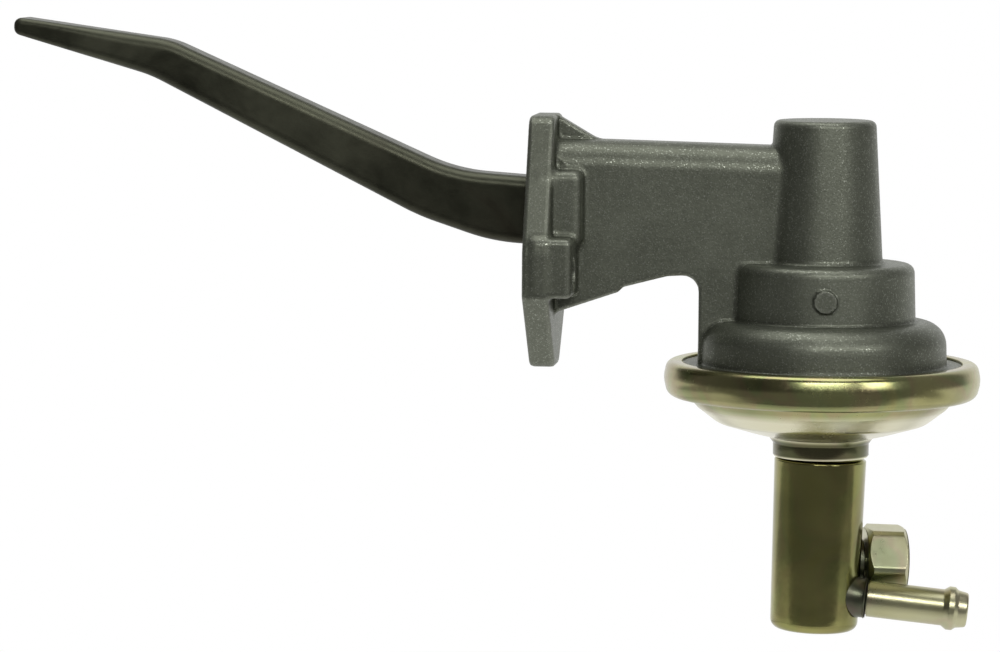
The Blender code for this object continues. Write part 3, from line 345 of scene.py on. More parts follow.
ring_outline = rounded([
    (-9, CLAMP_TOP, 0), (CLAMP_R, CLAMP_TOP, 0.6), (CLAMP_R, CLAMP_TOP - CLAMP_THICK, 0.3),
    (-9, CLAMP_TOP - CLAMP_THICK, 0),
])
chamber_outline = rounded([
    (-2.0, -4.6, 0), (-2.0, 17.6, 0), (8.0, 17.6, 0), (14.0, 21.9, 2.0), (73.8, 20.6, 0), (73.8, -4.2, 0),
    (42.0, -4.2, 4.0), (22.7, -8.1, 4.0), (11.1, -13.1, 2.0), (8.0, -4.6, 0),
])
hollow_outlines = [
    rounded([(-9, 27.7, 0), (9.0, 27.7, 3.0), (11.0, -4.2, 0), (-9, -4.2, 0)]),
    rounded([(-9, -7.1, 0), (19.5, -7.1, 2.0), (20.2, -21.4, 1.5), (27.4, -21.4, 3.5), (27.7, -32.3, 0),
             (28.7, -35.0, 0), (-9, -35.0, 0)]),
]


# %% [markdown]
# The field itself reads like the foundry's order of work: plate, bosses, gusset, neck, tower, barrel, bell
# and ring are joined with their fillets, then the hollows, the bolt holes and the pin's bore are taken
# away.

# %% The cast body as a field
def body_solid(x, y, z):
    """Everything that is metal in the casting before it is hollowed."""
    flange = overlap(outline_field(y, z, flange_outline), slab(x, 0, FLANGE_THICK), 1.1)
    across = np.abs(y)
    bolt_boss = brick(x, y, z, (2, -24.9, -12.9), (12.4, 24.9, 1.9), 1.5)
    pin_boss = brick(x, y, z, (2, -16.5, -0.3), (13.9, 16.5, 18.3), 2.0)
    rib = overlap(outline_field(x, z, rib_outline), across - 2.5, 0.6)
    roof_edge = 1.0 + 5.6 * eased(z, 8, 17)
    neck = overlap(outline_field(x, z, neck_outline), across - NECK_HALF, roof_edge)
    radius = np.hypot(x - AXIS_X, y)
    tower = outline_field(radius, z, tower_outline)
    barrel = outline_field(radius, z, barrel_outline)
    bell = outline_field(radius, z, bell_outline)
    ring = outline_field(radius, z, ring_outline)
    mark = np.maximum(np.hypot(x - AXIS_X - MARK_ASIDE, z + MARK_DOWN) - MARK_R, slab(y, MARK_FACE, -20.0))
    metal = joined(flange, bolt_boss, 1.4)
    metal = joined(metal, pin_boss, 1.6)
    metal = joined(metal, neck, 1.6)
    metal = joined(metal, rib, 1.0)
    turned = joined(joined(tower, barrel, 1.5), bell, 1.0)
    metal = joined(metal, turned, 1.0)
    metal = joined(metal, ring, 0.8)
    return joined(metal, mark, 0.3)


def body_field(x, y, z):
    """The casting: the solid with its hollows, bolt holes and pin bore taken away."""
    radius = np.hypot(x - AXIS_X, y)
    metal = body_solid(x, y, z)
    chamber = overlap(outline_field(x, z, chamber_outline), np.abs(y) - 7.0, 0.8)
    hollow = np.minimum(*[outline_field(radius, z, outline) for outline in hollow_outlines])
    hollow = np.minimum(hollow, np.maximum(radius - 3.0, slab(z, -9.0, -3.0)))
    metal = cut(metal, joined(chamber, hollow, 0.6))
    bolts = np.maximum(np.hypot(np.abs(y) - BOLT_OUT, z + BOLT_DOWN) - BOLT_R, slab(x, -3, 15))
    from_pin = np.hypot(x - PIVOT_X, z - PIVOT_Z)
    pin = np.maximum(from_pin - PIN_BORE_R, slab(y, -13.6, 20))
    plug = np.maximum(from_pin - PLUG_BORE_R, slab(y, 14.1, 20))
    return cut(metal, np.minimum(np.minimum(bolts, pin), plug), 0.35)


CELL = 0.68
points, quads = net_of(body_field, (-1.2, -37.2, -34.8), (111.2, 37.2, 34.0), CELL)
body = piece("cast_body", points, quads, "pump_body", ["housing"], smooth_angle=0)
with_normals(body, body_field)

# %% [markdown]
# The rocker arm is a forged bar of constant width, so its side view says nearly everything: a flat cam pad,
# a knee, a long tapering shank and an elbow at the flange. Forging leaves wide round edges. Inside the pump
# the bar is bored for its pin and slotted round the pull rod.

# %% The forged arm
ARM_HALF, SLOT_HALF, SLOT_AHEAD = 6.5, 3.1, 5.0
crown_angles = np.radians(np.linspace(150, 30, 9))
crown = [(AXIS_X + 5.0 * math.cos(a), 3.0 + 5.0 * math.sin(a), 0) for a in crown_angles]
arm_outline = rounded([
    (-132.7, 55.3, 1.9), (-92.3, 49.8, 22), (-19.5, 17.6, 45), (9.3, 15.6, 12), (44.8, 9.5, 30),
    (65.3, 6.0, 6),
    *crown, (77.8, 0.25, 1), (65.3, 0.25, 0), (38.3, -0.5, 25), (11.3, -1.4, 10), (-9.5, -0.4, 50),
    (-28.5, 5.9, 60), (-97.5, 40.7, 35), (-132.7, 51.0, 1.9),
], steps=8)


def arm_field(x, y, z):
    """The side view carried across with rounded edges, less the fork's slot and the pin's bore."""
    side = outline_field(x, z, arm_outline)
    bar = overlap(side, np.abs(y) - ARM_HALF, 1.6 + 1.2 * eased(x, -128, -100))
    slot = np.maximum(np.abs(y) - SLOT_HALF, AXIS_X - SLOT_AHEAD - x)
    bore = np.hypot(x - PIVOT_X, z - PIVOT_Z) - PIN_BORE_R
    return cut(bar, np.minimum(slot, bore), 0.3)


ARM_CELL = 0.55
points, quads = net_of(arm_field, (-136.2, -7.6, -2.8), (80.0, 7.6, 57.0), ARM_CELL)
arm = piece("forged_arm", points, quads, "rocker", ["rocker_arm"], smooth_angle=0)
with_normals(arm, arm_field)

# %% [markdown]
# The lower half is sheet steel and turned steel, and a lathe makes all of it: an outline in radius and
# height is carried round an axis. The axis may stand anywhere, because the same helper makes the upright
# can and the nipple that points out of it.

# %% A lathe
def frame_at(origin, along, up=(0, 0, 1)):
    """Three unit vectors and an origin: the last vector runs along the lathe's axis."""
    along = np.array(along, float) / np.linalg.norm(along)
    side = np.cross(up, along)
    side /= np.linalg.norm(side)
    return np.array(origin, float), side, np.cross(along, side), along


def turned(outline, place, segments=160):
    """Each outline point (radius, height) is swept round the axis: origin + radius * (cos, sin) + height
    * axis.
    """
    origin, side, across, along = place
    angle = np.linspace(0, 2 * math.pi, segments, endpoint=False)
    ring = np.cos(angle)[:, None] * side + np.sin(angle)[:, None] * across
    radius, height = outline[:, 0], outline[:, 1]
    points = origin + radius[:, None, None] * ring + (height[:, None] * along)[:, None, :]
    return points.reshape(-1, 3)


def wrapped(rows, segments, closed):
    """Quads between neighbouring rings of a lathed or lofted grid, facing outwards for an outline drawn
    top down.
    """
    i = np.arange(rows if closed else rows - 1)[:, None]
    j = np.arange(segments)[None, :]
    here, below = i * segments, (i + 1) % rows * segments
    ahead = (j + 1) % segments
    return np.stack([here + j, below + j, below + ahead, here + ahead], -1).reshape(-1, 4)


UPRIGHT = frame_at((AXIS_X, 0, 0), (0, 0, 1), up=(1, 0, 0))


def leaned(points):
    """The can stands 1.5 degrees out of true in its collar: x cos + z sin, z cos - x sin about a point
    there.
    """
    lean, middle = math.radians(1.5), -52.1
    x, z = points[:, 0] - AXIS_X, points[:, 2] - middle
    return np.stack([
        AXIS_X + x * math.cos(lean) + z * math.sin(lean), points[:, 1],
        middle + z * math.cos(lean) - x * math.sin(lean),
    ], 1)


def lathed(name, corners, place, nodes, spacing=1.5, segments=160, on_can=False):
    """A closed outline, rounded and made fine, turned about an axis into a piece."""
    outline = densified(rounded(corners, steps=8), spacing)
    points = turned(outline, place, segments)
    if on_can:
        points = leaned(points)
    return piece(
        name, points, wrapped(len(outline), segments, True), "pump_body", nodes, smooth_angle=50
    )


# %% [markdown]
# The cover is one pressing. Its rim is rolled over the casting's clamp ring, which leaves a fat bead;
# inside the bead the sheet steps down into a shallow dish and ends in a short collar that holds the valve
# can.

# %% The pressed cover
SHEET = 1.5
EDGE_FOOT = -35.3
COLLAR_R = 12.1
COLLAR_FOOT = -53.7
rim_foot = LIP_TOP - 8.9
cover_corners = [
    (RIM_R - 4.7, LIP_TOP, 0.5), (RIM_R - 0.9, LIP_TOP, 2.0), (RIM_R, LIP_TOP - 4.2, 7.0),
    (RIM_R - 1.1, rim_foot, 2.6), (33.8, rim_foot, 1.6), (31.4, -41.3, 2.2), (26.4, -45.1, 6.0),
    (COLLAR_R + 6, -47.5, 10.0), (COLLAR_R + 1.2, -48.7, 1.5), (COLLAR_R, -50.3, 0.6),
    (COLLAR_R, COLLAR_FOOT + 0.5, 0), (COLLAR_R - 0.3, COLLAR_FOOT, 0), (COLLAR_R - 1.2, COLLAR_FOOT, 0.3),
    (COLLAR_R - 1.2, -47.8, 0.8), (COLLAR_R + 5.5, -47.5 + SHEET, 10.0), (25.6, -45.1 + SHEET, 5.0),
    (30.2, EDGE_FOOT - SHEET, 1.5), (30.2, EDGE_FOOT, 0.8), (CLAMP_R + 0.3, EDGE_FOOT, 0),
    (CLAMP_R + 0.3, CLAMP_TOP + 0.3, 0), (RIM_R - 4.7, CLAMP_TOP + 0.3, 0.2),
]
cover = lathed("pressed_cover", cover_corners, UPRIGHT, ["cover"], segments=256)

# %% [markdown]
# The can is drawn from one disc of steel: its mouth is joggled in to fit the collar, the wall tapers a
# little and the foot has the generous radius that deep drawing needs. A lathe's rings shrink to a point on
# the axis, where a quad would lose its area, so the floor's outline stops a fiftieth of a millimetre short
# of it. That leaves a pinhole too fine to see.

# %% The valve can
POLE = 0.02
CAN_FOOT = -97.9
can_corners = [
    (9.4, -50.2, 0), (10.6, -50.2, 0.3), (10.6, -54.0, 0.4), (11.6, -54.6, 0.5),
    (11.05, CAN_FOOT, 2.4), (POLE, CAN_FOOT, 0), (POLE, CAN_FOOT + 1.2, 0), (9.65, CAN_FOOT + 1.2, 1.2),
    (10.2, -55.8, 0.5), (9.4, -55.2, 0.3),
]
can = lathed("drawn_can", can_corners, UPRIGHT, ["canister"], segments=192, on_can=True)

# %% [markdown]
# Two fittings are brazed into the can. The nipple takes a rubber hose: a plain tube with a rolled bead near
# its end that stops the hose from slipping off. It droops a few degrees, as these do.

# %% The hose nipple
def outward(turn_deg, droop_deg):
    """A unit vector that leaves the can at a compass angle from +X and droops below level."""
    turn, droop = math.radians(turn_deg), math.radians(droop_deg)
    return (math.cos(turn) * math.cos(droop), math.sin(turn) * math.cos(droop), -math.sin(droop))


NIPPLE = frame_at((AXIS_X, -3.0, -88.1), outward(3.0, 4.5))
NIPPLE_R, NIPPLE_END = 4.6, 38.7
nipple_corners = [
    (3.4, NIPPLE_END, 0.3), (NIPPLE_R - 0.3, NIPPLE_END, 0.7), (NIPPLE_R + 0.15, NIPPLE_END - 2.6, 0.8),
    (5.5, NIPPLE_END - 3.5, 0.6), (5.5, NIPPLE_END - 4.9, 0.6), (NIPPLE_R, NIPPLE_END - 6.2, 0.8),
    (NIPPLE_R, 13.5, 0), (4.1, 13.5, 0), (4.1, 6.4, 0), (3.4, 6.4, 0),
]
nipple = lathed(
    "hose_nipple", nipple_corners, NIPPLE, ["outlet_nipple"], spacing=1.0, on_can=True
)


# %% [markdown]
# A brazed collar has to meet a round can, so its inner edge is a saddle. For each direction round the
# fitting's axis, the start of the collar is where that line pierces the can's cylinder: the height along
# the axis at which the distance from the can's axis equals the can's radius.

# %% Saddled collars
def saddled(name, profile, place, can_radius, nodes, segments=128):
    """Rings (radius, height) between the saddle on the can, where height is 0, and the collar's end.

    A line at that radius pierces the can where a h^2 + 2 b h + c = 0, and each ring moves from there to the end
    by its share of the whole height.
    """
    origin, side, across, along = place
    angle = np.linspace(0, 2 * math.pi, segments, endpoint=False)
    ring = np.cos(angle)[:, None] * side + np.sin(angle)[:, None] * across
    end = max(height for _, height in profile)
    rows = []
    for radius, height in profile:
        start = origin + radius * ring
        a = along[0] ** 2 + along[1] ** 2
        dx, dy = start[:, 0] - AXIS_X, start[:, 1]
        b = dx * along[0] + dy * along[1]
        c = dx * dx + dy * dy - can_radius ** 2
        pierce = (-b + np.sqrt(np.maximum(b * b - a * c, 0))) / a
        reached = pierce + (end - pierce) * height / end
        rows.append(start + reached[:, None] * along)
    points = leaned(np.concatenate(rows))
    return piece(name, points, wrapped(len(rows), segments, True), "pump_body", nodes, smooth_angle=50)


CAN_WALL_R = 11.2
nipple_profile = [
    (4.4, 0.0), (4.4, 13.2), (4.7, 13.2), (4.95, 13.0), (5.05, 12.6), (4.9, 12.2), (4.75, 12.0), (5.0, 11.75),
    (5.15, 11.45), (5.25, 11.0), (5.15, 10.5), (5.0, 9.6), (5.0, 3.0), (5.2, 0.0),
]
nipple_collar = saddled(
    "nipple_braze", nipple_profile[::-1], NIPPLE, CAN_WALL_R, ["nipple_collar"]
)

# %% [markdown]
# The inlet is a hexagon nut-shaped fitting. A hexagon's radius at an angle is apothem / cos(angle from the
# nearest flat), and its chamfer is a cone: the smaller of the two radii at each height gives the curved
# edges that every machined hexagon shows.

# %% The hexagon fitting
INLET = frame_at((AXIS_X, 7.3, -81.5), outward(12.0, 1.0))
HEX_START, HEX_END, HEX_APOTHEM, HEX_ROLL = 11.7, 22.2, 9.15, 34.0
EDGE_WEAR, CHAMFER_FACE, CHAMFER_SLOPE, CHAMFER_LONG = 0.35, 8.6, 0.80, 2.2


def hexagon(name, place, nodes, segments=240):
    """Rings of the hexagon limited by chamfer cones, then a chamfered bore that ends in a blind floor."""
    origin, side, across, along = place
    angle = np.linspace(0, 2 * math.pi, segments, endpoint=False)
    nearest = (angle - math.radians(HEX_ROLL - 30)) % (math.pi / 3) - math.pi / 6
    flat = HEX_APOTHEM / np.cos(nearest)
    flat = flat - EDGE_WEAR * np.exp(-((math.pi / 6 - np.abs(nearest)) / 0.05) ** 2)
    ring = np.cos(angle)[:, None] * side + np.sin(angle)[:, None] * across
    height = np.concatenate([[HEX_START] * 3, HEX_START + CHAMFER_LONG * np.linspace(0, 1, 24) ** 1.5,
                             HEX_END - CHAMFER_LONG * np.linspace(1, 0, 24) ** 1.5, [HEX_END] * 3])
    limit = CHAMFER_FACE + np.minimum(height - HEX_START, HEX_END - height) / CHAMFER_SLOPE
    limit[:3] = [3.9, 8.0, 8.8]
    limit[-3:] = [8.8, 7.4, 6.2]
    radius = np.minimum(flat[None, :], limit[:, None])
    bore = [(5.6, HEX_END - 0.6), (5.6, 14.3), (2.4, 12.3), (2.4, 6.4), (3.9, 6.4), (3.9, HEX_START - 0.1)]
    height = np.concatenate([height, [h for _, h in bore]])
    radius = np.concatenate([radius, [np.full(segments, r) for r, _ in bore]])
    points = origin + radius[..., None] * ring + (height[:, None] * along)[:, None, :]
    faces = wrapped(len(height), segments, True)[:, ::-1]
    return piece(name, leaned(points.reshape(-1, 3)), faces, "pump_body", nodes, smooth_angle=25)


inlet = hexagon("inlet_hexagon", INLET, ["inlet_fitting"])
inlet_profile = [
    (2.4, 0.0), (2.4, 6.1), (4.2, 6.1), (4.2, 11.4), (5.5, 11.4), (5.8, 11.2), (6.2, 10.0), (6.4, 9.0),
    (6.4, 0.0),
]
inlet_collar = saddled(
    "inlet_braze", inlet_profile[::-1], INLET, CAN_WALL_R, ["inlet_collar"]
)

# %% [markdown]
# Finishes are node graphs. Wiring nodes by hand is slow to write and slow to read, so a small class wraps a
# socket and overloads Python's operators: an expression such as 1 - mask * 0.5 adds its own Math nodes.

# %% Shader maths
class Flow:
    """A value in a material, held as an output socket."""

    def __init__(self, tree, socket):
        self.tree, self.socket = tree, socket

    def math(self, operation, a, b=None):
        """One Math node."""
        return self.tree.node("Math", {"operation": operation}, {0: a, 1: b})

    def __add__(self, other):
        return self.math("ADD", self, other)

    def __radd__(self, other):
        return self.math("ADD", other, self)

    def __sub__(self, other):
        return self.math("SUBTRACT", self, other)

    def __rsub__(self, other):
        return self.math("SUBTRACT", other, self)

    def __mul__(self, other):
        return self.math("MULTIPLY", self, other)

    def __rmul__(self, other):
        return self.math("MULTIPLY", other, self)

    def between(self, low, high):
        """0 at low, 1 at high, clamped."""
        return self.tree.node("MapRange", {"clamp": True}, {0: self, 1: low, 2: high})

    def band(self, start, full, last, end):
        """1 from full to last, fading to 0 at start and at end."""
        return self.between(start, full) * self.between(end, last)


class Finish:
    """A Principled material built by calls; node() adds any node and returns its first output."""

    def __init__(self, name, roughness=0.5, metallic=1.0):
        self.material = bpy.data.materials.new(name)
        self.material.use_nodes = True
        self.nodes = self.material.node_tree.nodes
        self.links = self.material.node_tree.links
        self.shader = self.nodes["Principled BSDF"]
        self.feed("Roughness", roughness)
        self.feed("Metallic", metallic)

    def node(self, kind, settings=None, inputs=None, output=0):
        """Any node: its settings first, a ramp's stops among them, then the values or links of its
        sockets.
        """
        made = self.nodes.new("ShaderNode" + kind)
        for key, value in (settings or {}).items():
            if key == "stops":
                ramp = made.color_ramp
                while len(ramp.elements) < len(value):
                    ramp.elements.new(0.5)
                for element, (at, colour) in zip(ramp.elements, value):
                    element.position = at
                    element.color = (*colour, 1.0)
            else:
                setattr(made, key, value)
        for key, value in (inputs or {}).items():
            self.plug(made.inputs[key], value)
        return Flow(self, made.outputs[output])

    def plug(self, socket, value):
        """A Flow is linked, anything else is set on the socket, and None leaves it alone."""
        if value is None:
            return
        if isinstance(value, Flow):
            self.links.new(value.socket, socket)
        elif isinstance(value, tuple) and len(value) == 3 and socket.type == "RGBA":
            socket.default_value = (*value, 1.0)
        else:
            socket.default_value = value

    def feed(self, socket, value):
        """Plugs into the Principled shader."""
        self.plug(self.shader.inputs[socket], value)

    def place(self):
        """Object coordinates, in metres."""
        return self.node("TexCoord", output="Object")

    def noise(self, scale, detail=3.0, roughness=0.5, at=None, distortion=0.0):
        """Fractal noise, its scale in features a metre."""
        inputs = {"Vector": at or self.place(), "Scale": scale, "Detail": detail, "Roughness": roughness,
                  "Distortion": distortion}
        return self.node("TexNoise", {}, inputs)

    def cells(self, scale, output="Distance"):
        """Voronoi cells, so many a metre: the distance to a cell's middle, or a colour for each cell."""
        return self.node("TexVoronoi", {}, {"Vector": self.place(), "Scale": scale}, output)

    def stretched(self, x, y, z):
        """Object coordinates scaled by axis, which draws noise out along the smaller ones."""
        return self.node("Mapping", {}, {"Vector": self.place(), "Scale": (x, y, z)})

    def blend(self, factor, a, b):
        """Colour a at factor 0 and colour b at 1; a Mix node's colours are its sockets 6 and 7, its
        result 2.
        """
        return self.node("Mix", {"data_type": "RGBA"}, {0: factor, 6: a, 7: b}, output=2)

    def ramp(self, factor, *stops):
        """A colour by the factor's place between stops (position, colour)."""
        return self.node("ValToRGB", {"stops": stops}, {0: factor})

    def bump(self, height, distance, strength=1.0, under=None):
        """A normal tilted by the height's slope, distance in metres; under is a coarser bump below it."""
        inputs = {"Height": height, "Distance": distance, "Strength": strength, "Normal": under}
        return self.node("Bump", {}, inputs)


def wear(thing, finish):
    """Puts a finish on a piece or a CAD node in place of what it had."""
    thing.data.materials.clear()
    thing.data.materials.append(finish.material)
    print(f"{thing.name} wears {finish.material.name}")


# %% [markdown]
# Die-cast alloy that has been bead-blasted and chromated is a dull olive grey, full of pinpoint glints. The
# glints are painted in a fine cell pattern: about one cell in six is lighter and smoother than its neighbours.
# The bend attribute, which the body's own field gave, paints shade into the fillets and a highlight on the
# outer corners.

# %% Cast alloy
def cast_alloy():
    """Cloudy olive grey with fine grain, painted shade in fillets, painted highlight on edges, painted glints.
    """
    f = Finish("cast_alloy", metallic=0.85)
    cloud = f.noise(60, 4, 0.6)
    grain = f.noise(1500, 3, 0.7)
    glint_cell = f.cells(3800, output="Color")
    glint = f.node("SeparateColor", {}, {0: glint_cell}).between(0.84, 1.0)
    bend = f.node("Attribute", {"attribute_name": "bend"}, output="Fac")
    hollow = (bend * -1).between(0.15, 0.9)
    crest = bend.between(0.25, 1.1)
    tone = f.ramp(cloud * 0.5 + grain * 0.5, (0.3, (0.108, 0.115, 0.088)), (0.7, (0.190, 0.202, 0.158)))
    # painted shade: the fillets, where bend is below zero, are darkened towards near-black
    tone = f.blend(hollow * 0.4, tone, (0.045, 0.048, 0.036))
    # painted highlight: the outer edges, where bend is high, are lightened
    tone = f.blend(crest * 0.35, tone, (0.30, 0.31, 0.26))
    # painted glints: the lighter cells blend towards a light grey
    tone = f.blend(glint * 0.5, tone, (0.46, 0.48, 0.41))
    f.feed("Base Color", tone)
    f.feed("Roughness", 0.47 - glint * 0.15 + (grain - 0.5) * 0.2)
    coarse = f.bump(f.noise(900, 3, 0.6), 0.00005, 0.3)
    f.feed("Normal", f.bump(f.cells(1900), 0.00005, 0.4, coarse))
    return f


CAST = cast_alloy()
wear(body, CAST)

# %% [markdown]
# The arm is hardened steel that has lived in oil: nearly black on its faces, with broad cloudy patches
# where the scale has thinned. Its paler stripe along the upper edges is painted light on the faces that look
# up, and the edges are lighter in flecks.

# %% Oiled forged steel
def forged_steel():
    """Near-black patches, painted light where it faces up, darker patches at the elbow, edges lighter in
    flecks.
    """
    f = Finish("forged_steel", metallic=0.9)
    patch = f.noise(38, 4, 0.55, distortion=0.6)
    fine = f.noise(420, 4, 0.6)
    bend = f.node("Attribute", {"attribute_name": "bend"}, output="Fac")
    crest = bend.between(0.1, 0.7)
    up = f.node("Attribute", {"attribute_name": "rise"}, output="Fac")
    tone = f.ramp(patch, (0.38, (0.038, 0.039, 0.026)), (0.62, (0.088, 0.090, 0.062)))
    # painted top light: faces that look up are lightened, as if lit from above
    tone = f.blend(up.between(0.0, 0.6) * 0.7, tone, (0.088, 0.092, 0.064))
    along = f.node("SeparateXYZ", {}, {0: f.place()}, 0)
    # darker in patches from the elbow inwards, towards the pin
    elbow_dark = along.between(-0.050, -0.022) * patch.between(0.42, 0.58)
    tone = f.blend(elbow_dark * 0.7, tone, (0.020, 0.016, 0.010))
    tone = f.blend(crest * fine.between(0.35, 0.6) * 0.2, tone, (0.16, 0.16, 0.12))
    f.feed("Base Color", tone)
    f.feed("Roughness", 0.42 + (patch - 0.5) * 0.25 + (fine - 0.5) * 0.25)
    rough = f.bump(f.noise(160, 3, 0.5), 0.0002, 0.35)
    f.feed("Normal", f.bump(fine, 0.00006, 0.5, rough))
    return f


FORGED = forged_steel()
wear(arm, FORGED)

# %% [markdown]
# Zinc plate with a yellow chromate film is the colour of old brass, and the film is thin enough to show
# oil-slick pinks and greens where the light grazes it. A slow noise swings the hue between straw, olive,
# pink and green. On the cover, height paints light into the one pressing: a light dish and a dark collar
# are painted reflections, and a light lip is a painted highlight.

# %% Yellow chromate
# Heights in metres where the cover's reflections and highlight are painted: dish, collar and lip.
DISH_BAND = (-0.0400, -0.0425, -0.0485, -0.0497)
COLLAR_BAND = (-0.0488, -0.0498, -0.0530, -0.0535)
LIP_START, LIP_FULL = -0.0530, -0.0535


def chromate(name, dark, light, rainbow, roughness, painted_reflection=0.0):
    """Film between a dark and a light tone, its rainbow share, and how far height paints the cover's
    reflections and highlight: a light dish and lip and a dark collar.
    """
    f = Finish(name, metallic=1.0)
    drift = f.noise(34, 3, 0.5, distortion=0.8)
    streak = f.noise(5, 3, 0.5, at=f.stretched(60, 60, 6))
    fine = f.noise(900, 3, 0.6)
    tone = f.ramp(drift, (0.35, dark), (0.65, light))
    film = f.ramp(
        f.noise(48, 2, 0.4, distortion=1.2),
        (0.30, (0.86, 0.80, 0.42)), (0.44, (0.90, 0.86, 0.62)), (0.52, (0.86, 0.60, 0.58)),
        (0.60, (0.52, 0.80, 0.50)), (0.72, (0.88, 0.84, 0.46)),
    )
    tone = f.blend(rainbow, tone, film)
    tone = f.blend((streak - 0.5) * 0.15 + 0.03, tone, dark)
    if painted_reflection:
        height = f.node("SeparateXYZ", {}, {0: f.place()}, 2)
        # painted reflection on the dish and painted highlight on the lip: both blend towards light cream
        painted_bright_bands = height.band(*DISH_BAND) + height.between(LIP_START, LIP_FULL)
        tone = f.blend(painted_bright_bands * painted_reflection, tone, (0.80, 0.77, 0.58))
        # painted dark reflection: the collar is blended towards near-black
        tone = f.blend(height.band(*COLLAR_BAND) * painted_reflection, tone, (0.060, 0.058, 0.034))
    f.feed("Base Color", tone)
    f.feed("Roughness", roughness + (fine - 0.5) * 0.16 + (drift - 0.5) * 0.12)
    f.feed("Normal", f.bump(f.noise(260, 3, 0.5), 0.00005, 0.35))
    return f


COVER_PLATE = chromate("chromated_cover", (0.20, 0.19, 0.065), (0.34, 0.32, 0.12), 0.14, 0.24, painted_reflection=0.78)
CAN_PLATE = chromate("chromated_can", (0.15, 0.145, 0.045), (0.31, 0.295, 0.095), 0.05, 0.18)
FITTING_PLATE = chromate("chromated_fitting", (0.29, 0.285, 0.155), (0.47, 0.46, 0.285), 0.15, 0.30)
BRAZE = chromate("chromated_braze", (0.050, 0.047, 0.032), (0.22, 0.21, 0.15), 0.05, 0.34)
wear(cover, COVER_PLATE)
wear(can, CAN_PLATE)
for thing in (nipple, inlet):
    wear(thing, FITTING_PLATE)
for thing in (nipple_collar, inlet_collar):
    wear(thing, BRAZE)


# %% [markdown]
# The works inside show only through the engine's window and at the fittings, but they get real finishes as
# well: ground steel for the turned and pressed pieces, drawn wire for the springs, and rubber.

# %% Inner pieces
def ground_steel(name, tone, roughness):
    """One steel tone, up to a fifth darker in a fine grain."""
    f = Finish(name, metallic=1.0)
    fine = f.noise(800, 3, 0.6)
    f.feed("Base Color", f.blend(fine, tuple(0.8 * c for c in tone), tone))
    f.feed("Roughness", roughness + (fine - 0.5) * 0.2)
    f.feed("Normal", f.bump(f.noise(500, 2, 0.5), 0.00003, 0.4))
    return f


def rubber(name, tone):
    """A near-black tone, up to 1.8 times lighter in a fine grain."""
    f = Finish(name, metallic=0.0)
    fine = f.noise(600, 4, 0.6)
    f.feed("Base Color", f.blend(fine, tone, tuple(1.8 * c for c in tone)))
    f.feed("Roughness", 0.7 + (fine - 0.5) * 0.3)
    f.feed("Normal", f.bump(fine, 0.00005, 0.5))
    return f


STEEL = ground_steel("ground_steel", (0.56, 0.56, 0.55), 0.32)
WIRE = ground_steel("spring_wire", (0.36, 0.37, 0.39), 0.38)
RUBBER = rubber("black_rubber", (0.018, 0.018, 0.019))
RUBBERED_CLOTH = rubber("rubbered_cloth", (0.03, 0.027, 0.025))
inner = {
    "bright_steel": STEEL, "spring_wire": WIRE, "seal_rubber": RUBBER, "diaphragm_cloth": RUBBERED_CLOTH,
}
for row in frame["record"]["subparts"]:
    if row["material_slot"] in inner:
        wear(frame["nodes"][row["node"]], inner[row["material_slot"]])

# %% [markdown]
# The studio is white all round, so the pump can be looked at from any side. Bright metal shows only what it
# mirrors, and a plain white room would leave it flat, so the camera's side of the room is hung with dark
# cloth and grey cards lie on the table in front and at the sides. Only mirror rays find them: no camera
# sees them and they throw no shadow. The backdrop gives the can its bright edges, and the cloth gives it
# its dark middle.

# %% The table
FLOOR_BELOW = 0.05
floor_z = float(cad_box[0][2]) - FLOOR_BELOW


def staged(name, points, faces, finish, mirror_only=False):
    """A studio surface that is no part of the pump; mirror_only hides it from all but glossy rays."""
    mesh = bpy.data.meshes.new(name)
    mesh.from_pydata(points, [], faces)
    thing = bpy.data.objects.new(name, mesh)
    bpy.context.scene.collection.objects.link(thing)
    thing.data.materials.append(finish.material)
    if mirror_only:
        thing.visible_camera = thing.visible_diffuse = thing.visible_transmission = thing.visible_shadow = False
    return thing


def seen_rays(f):
    """1 for rays that should find the white studio: from the camera, off metal or through the object."""
    seen = f.node("LightPath", output="Is Camera Ray")
    for name in ("Is Glossy Ray", "Is Transmission Ray"):
        seen = seen.math("MAXIMUM", seen, f.node("LightPath", output=name))
    return seen


def pale_floor():
    """Pale and matt under the pump, so that its shadow stays, white further out, and white in the dish's
    mirror.
    """
    f = Finish("pale_floor", roughness=0.9, metallic=0.0)
    f.feed("Base Color", (0.86, 0.86, 0.85))
    away = f.node("VectorMath", {"operation": "LENGTH"}, {0: f.place()}, output=1).between(0.20, 0.29)
    foot = (0.04, 0.0, floor_z)
    from_foot = f.node("VectorMath", {"operation": "DISTANCE"}, {0: f.place(), 1: foot}, output=1)
    forward = f.node("SeparateXYZ", {}, {0: f.place()}, 1).between(-0.08, -0.03)
    below = f.node("LightPath", output="Is Glossy Ray") * from_foot.between(0.20, 0.12) * forward * 0.9
    glow = f.node("Emission", {}, {"Color": (1.0, 1.0, 1.0), "Strength": 1.0})
    share = below.math("MAXIMUM", below, seen_rays(f) * away)
    mix = f.node("MixShader", {}, {0: share, 1: Flow(f, f.shader.outputs[0]), 2: glow})
    f.links.new(mix.socket, f.nodes["Material Output"].inputs["Surface"])
    return f


def flat(low_x, low_y, high_x, high_y, z):
    """The four corners of a level rectangle."""
    return [(low_x, low_y, z), (high_x, low_y, z), (high_x, high_y, z), (low_x, high_y, z)]


staged("studio_floor", flat(-3, -3, 3, 3, floor_z), [(0, 1, 2, 3)], pale_floor())

# %% [markdown]
# The dark cloth is a sphere round the studio with a round hole towards the backdrop: a point is radius *
# (sin a cos b, cos a, sin a sin b), where a is measured from the backdrop's direction. Its grey depends
# only on direction, and the room's own faint light, which fills the shadows, follows the same greys.

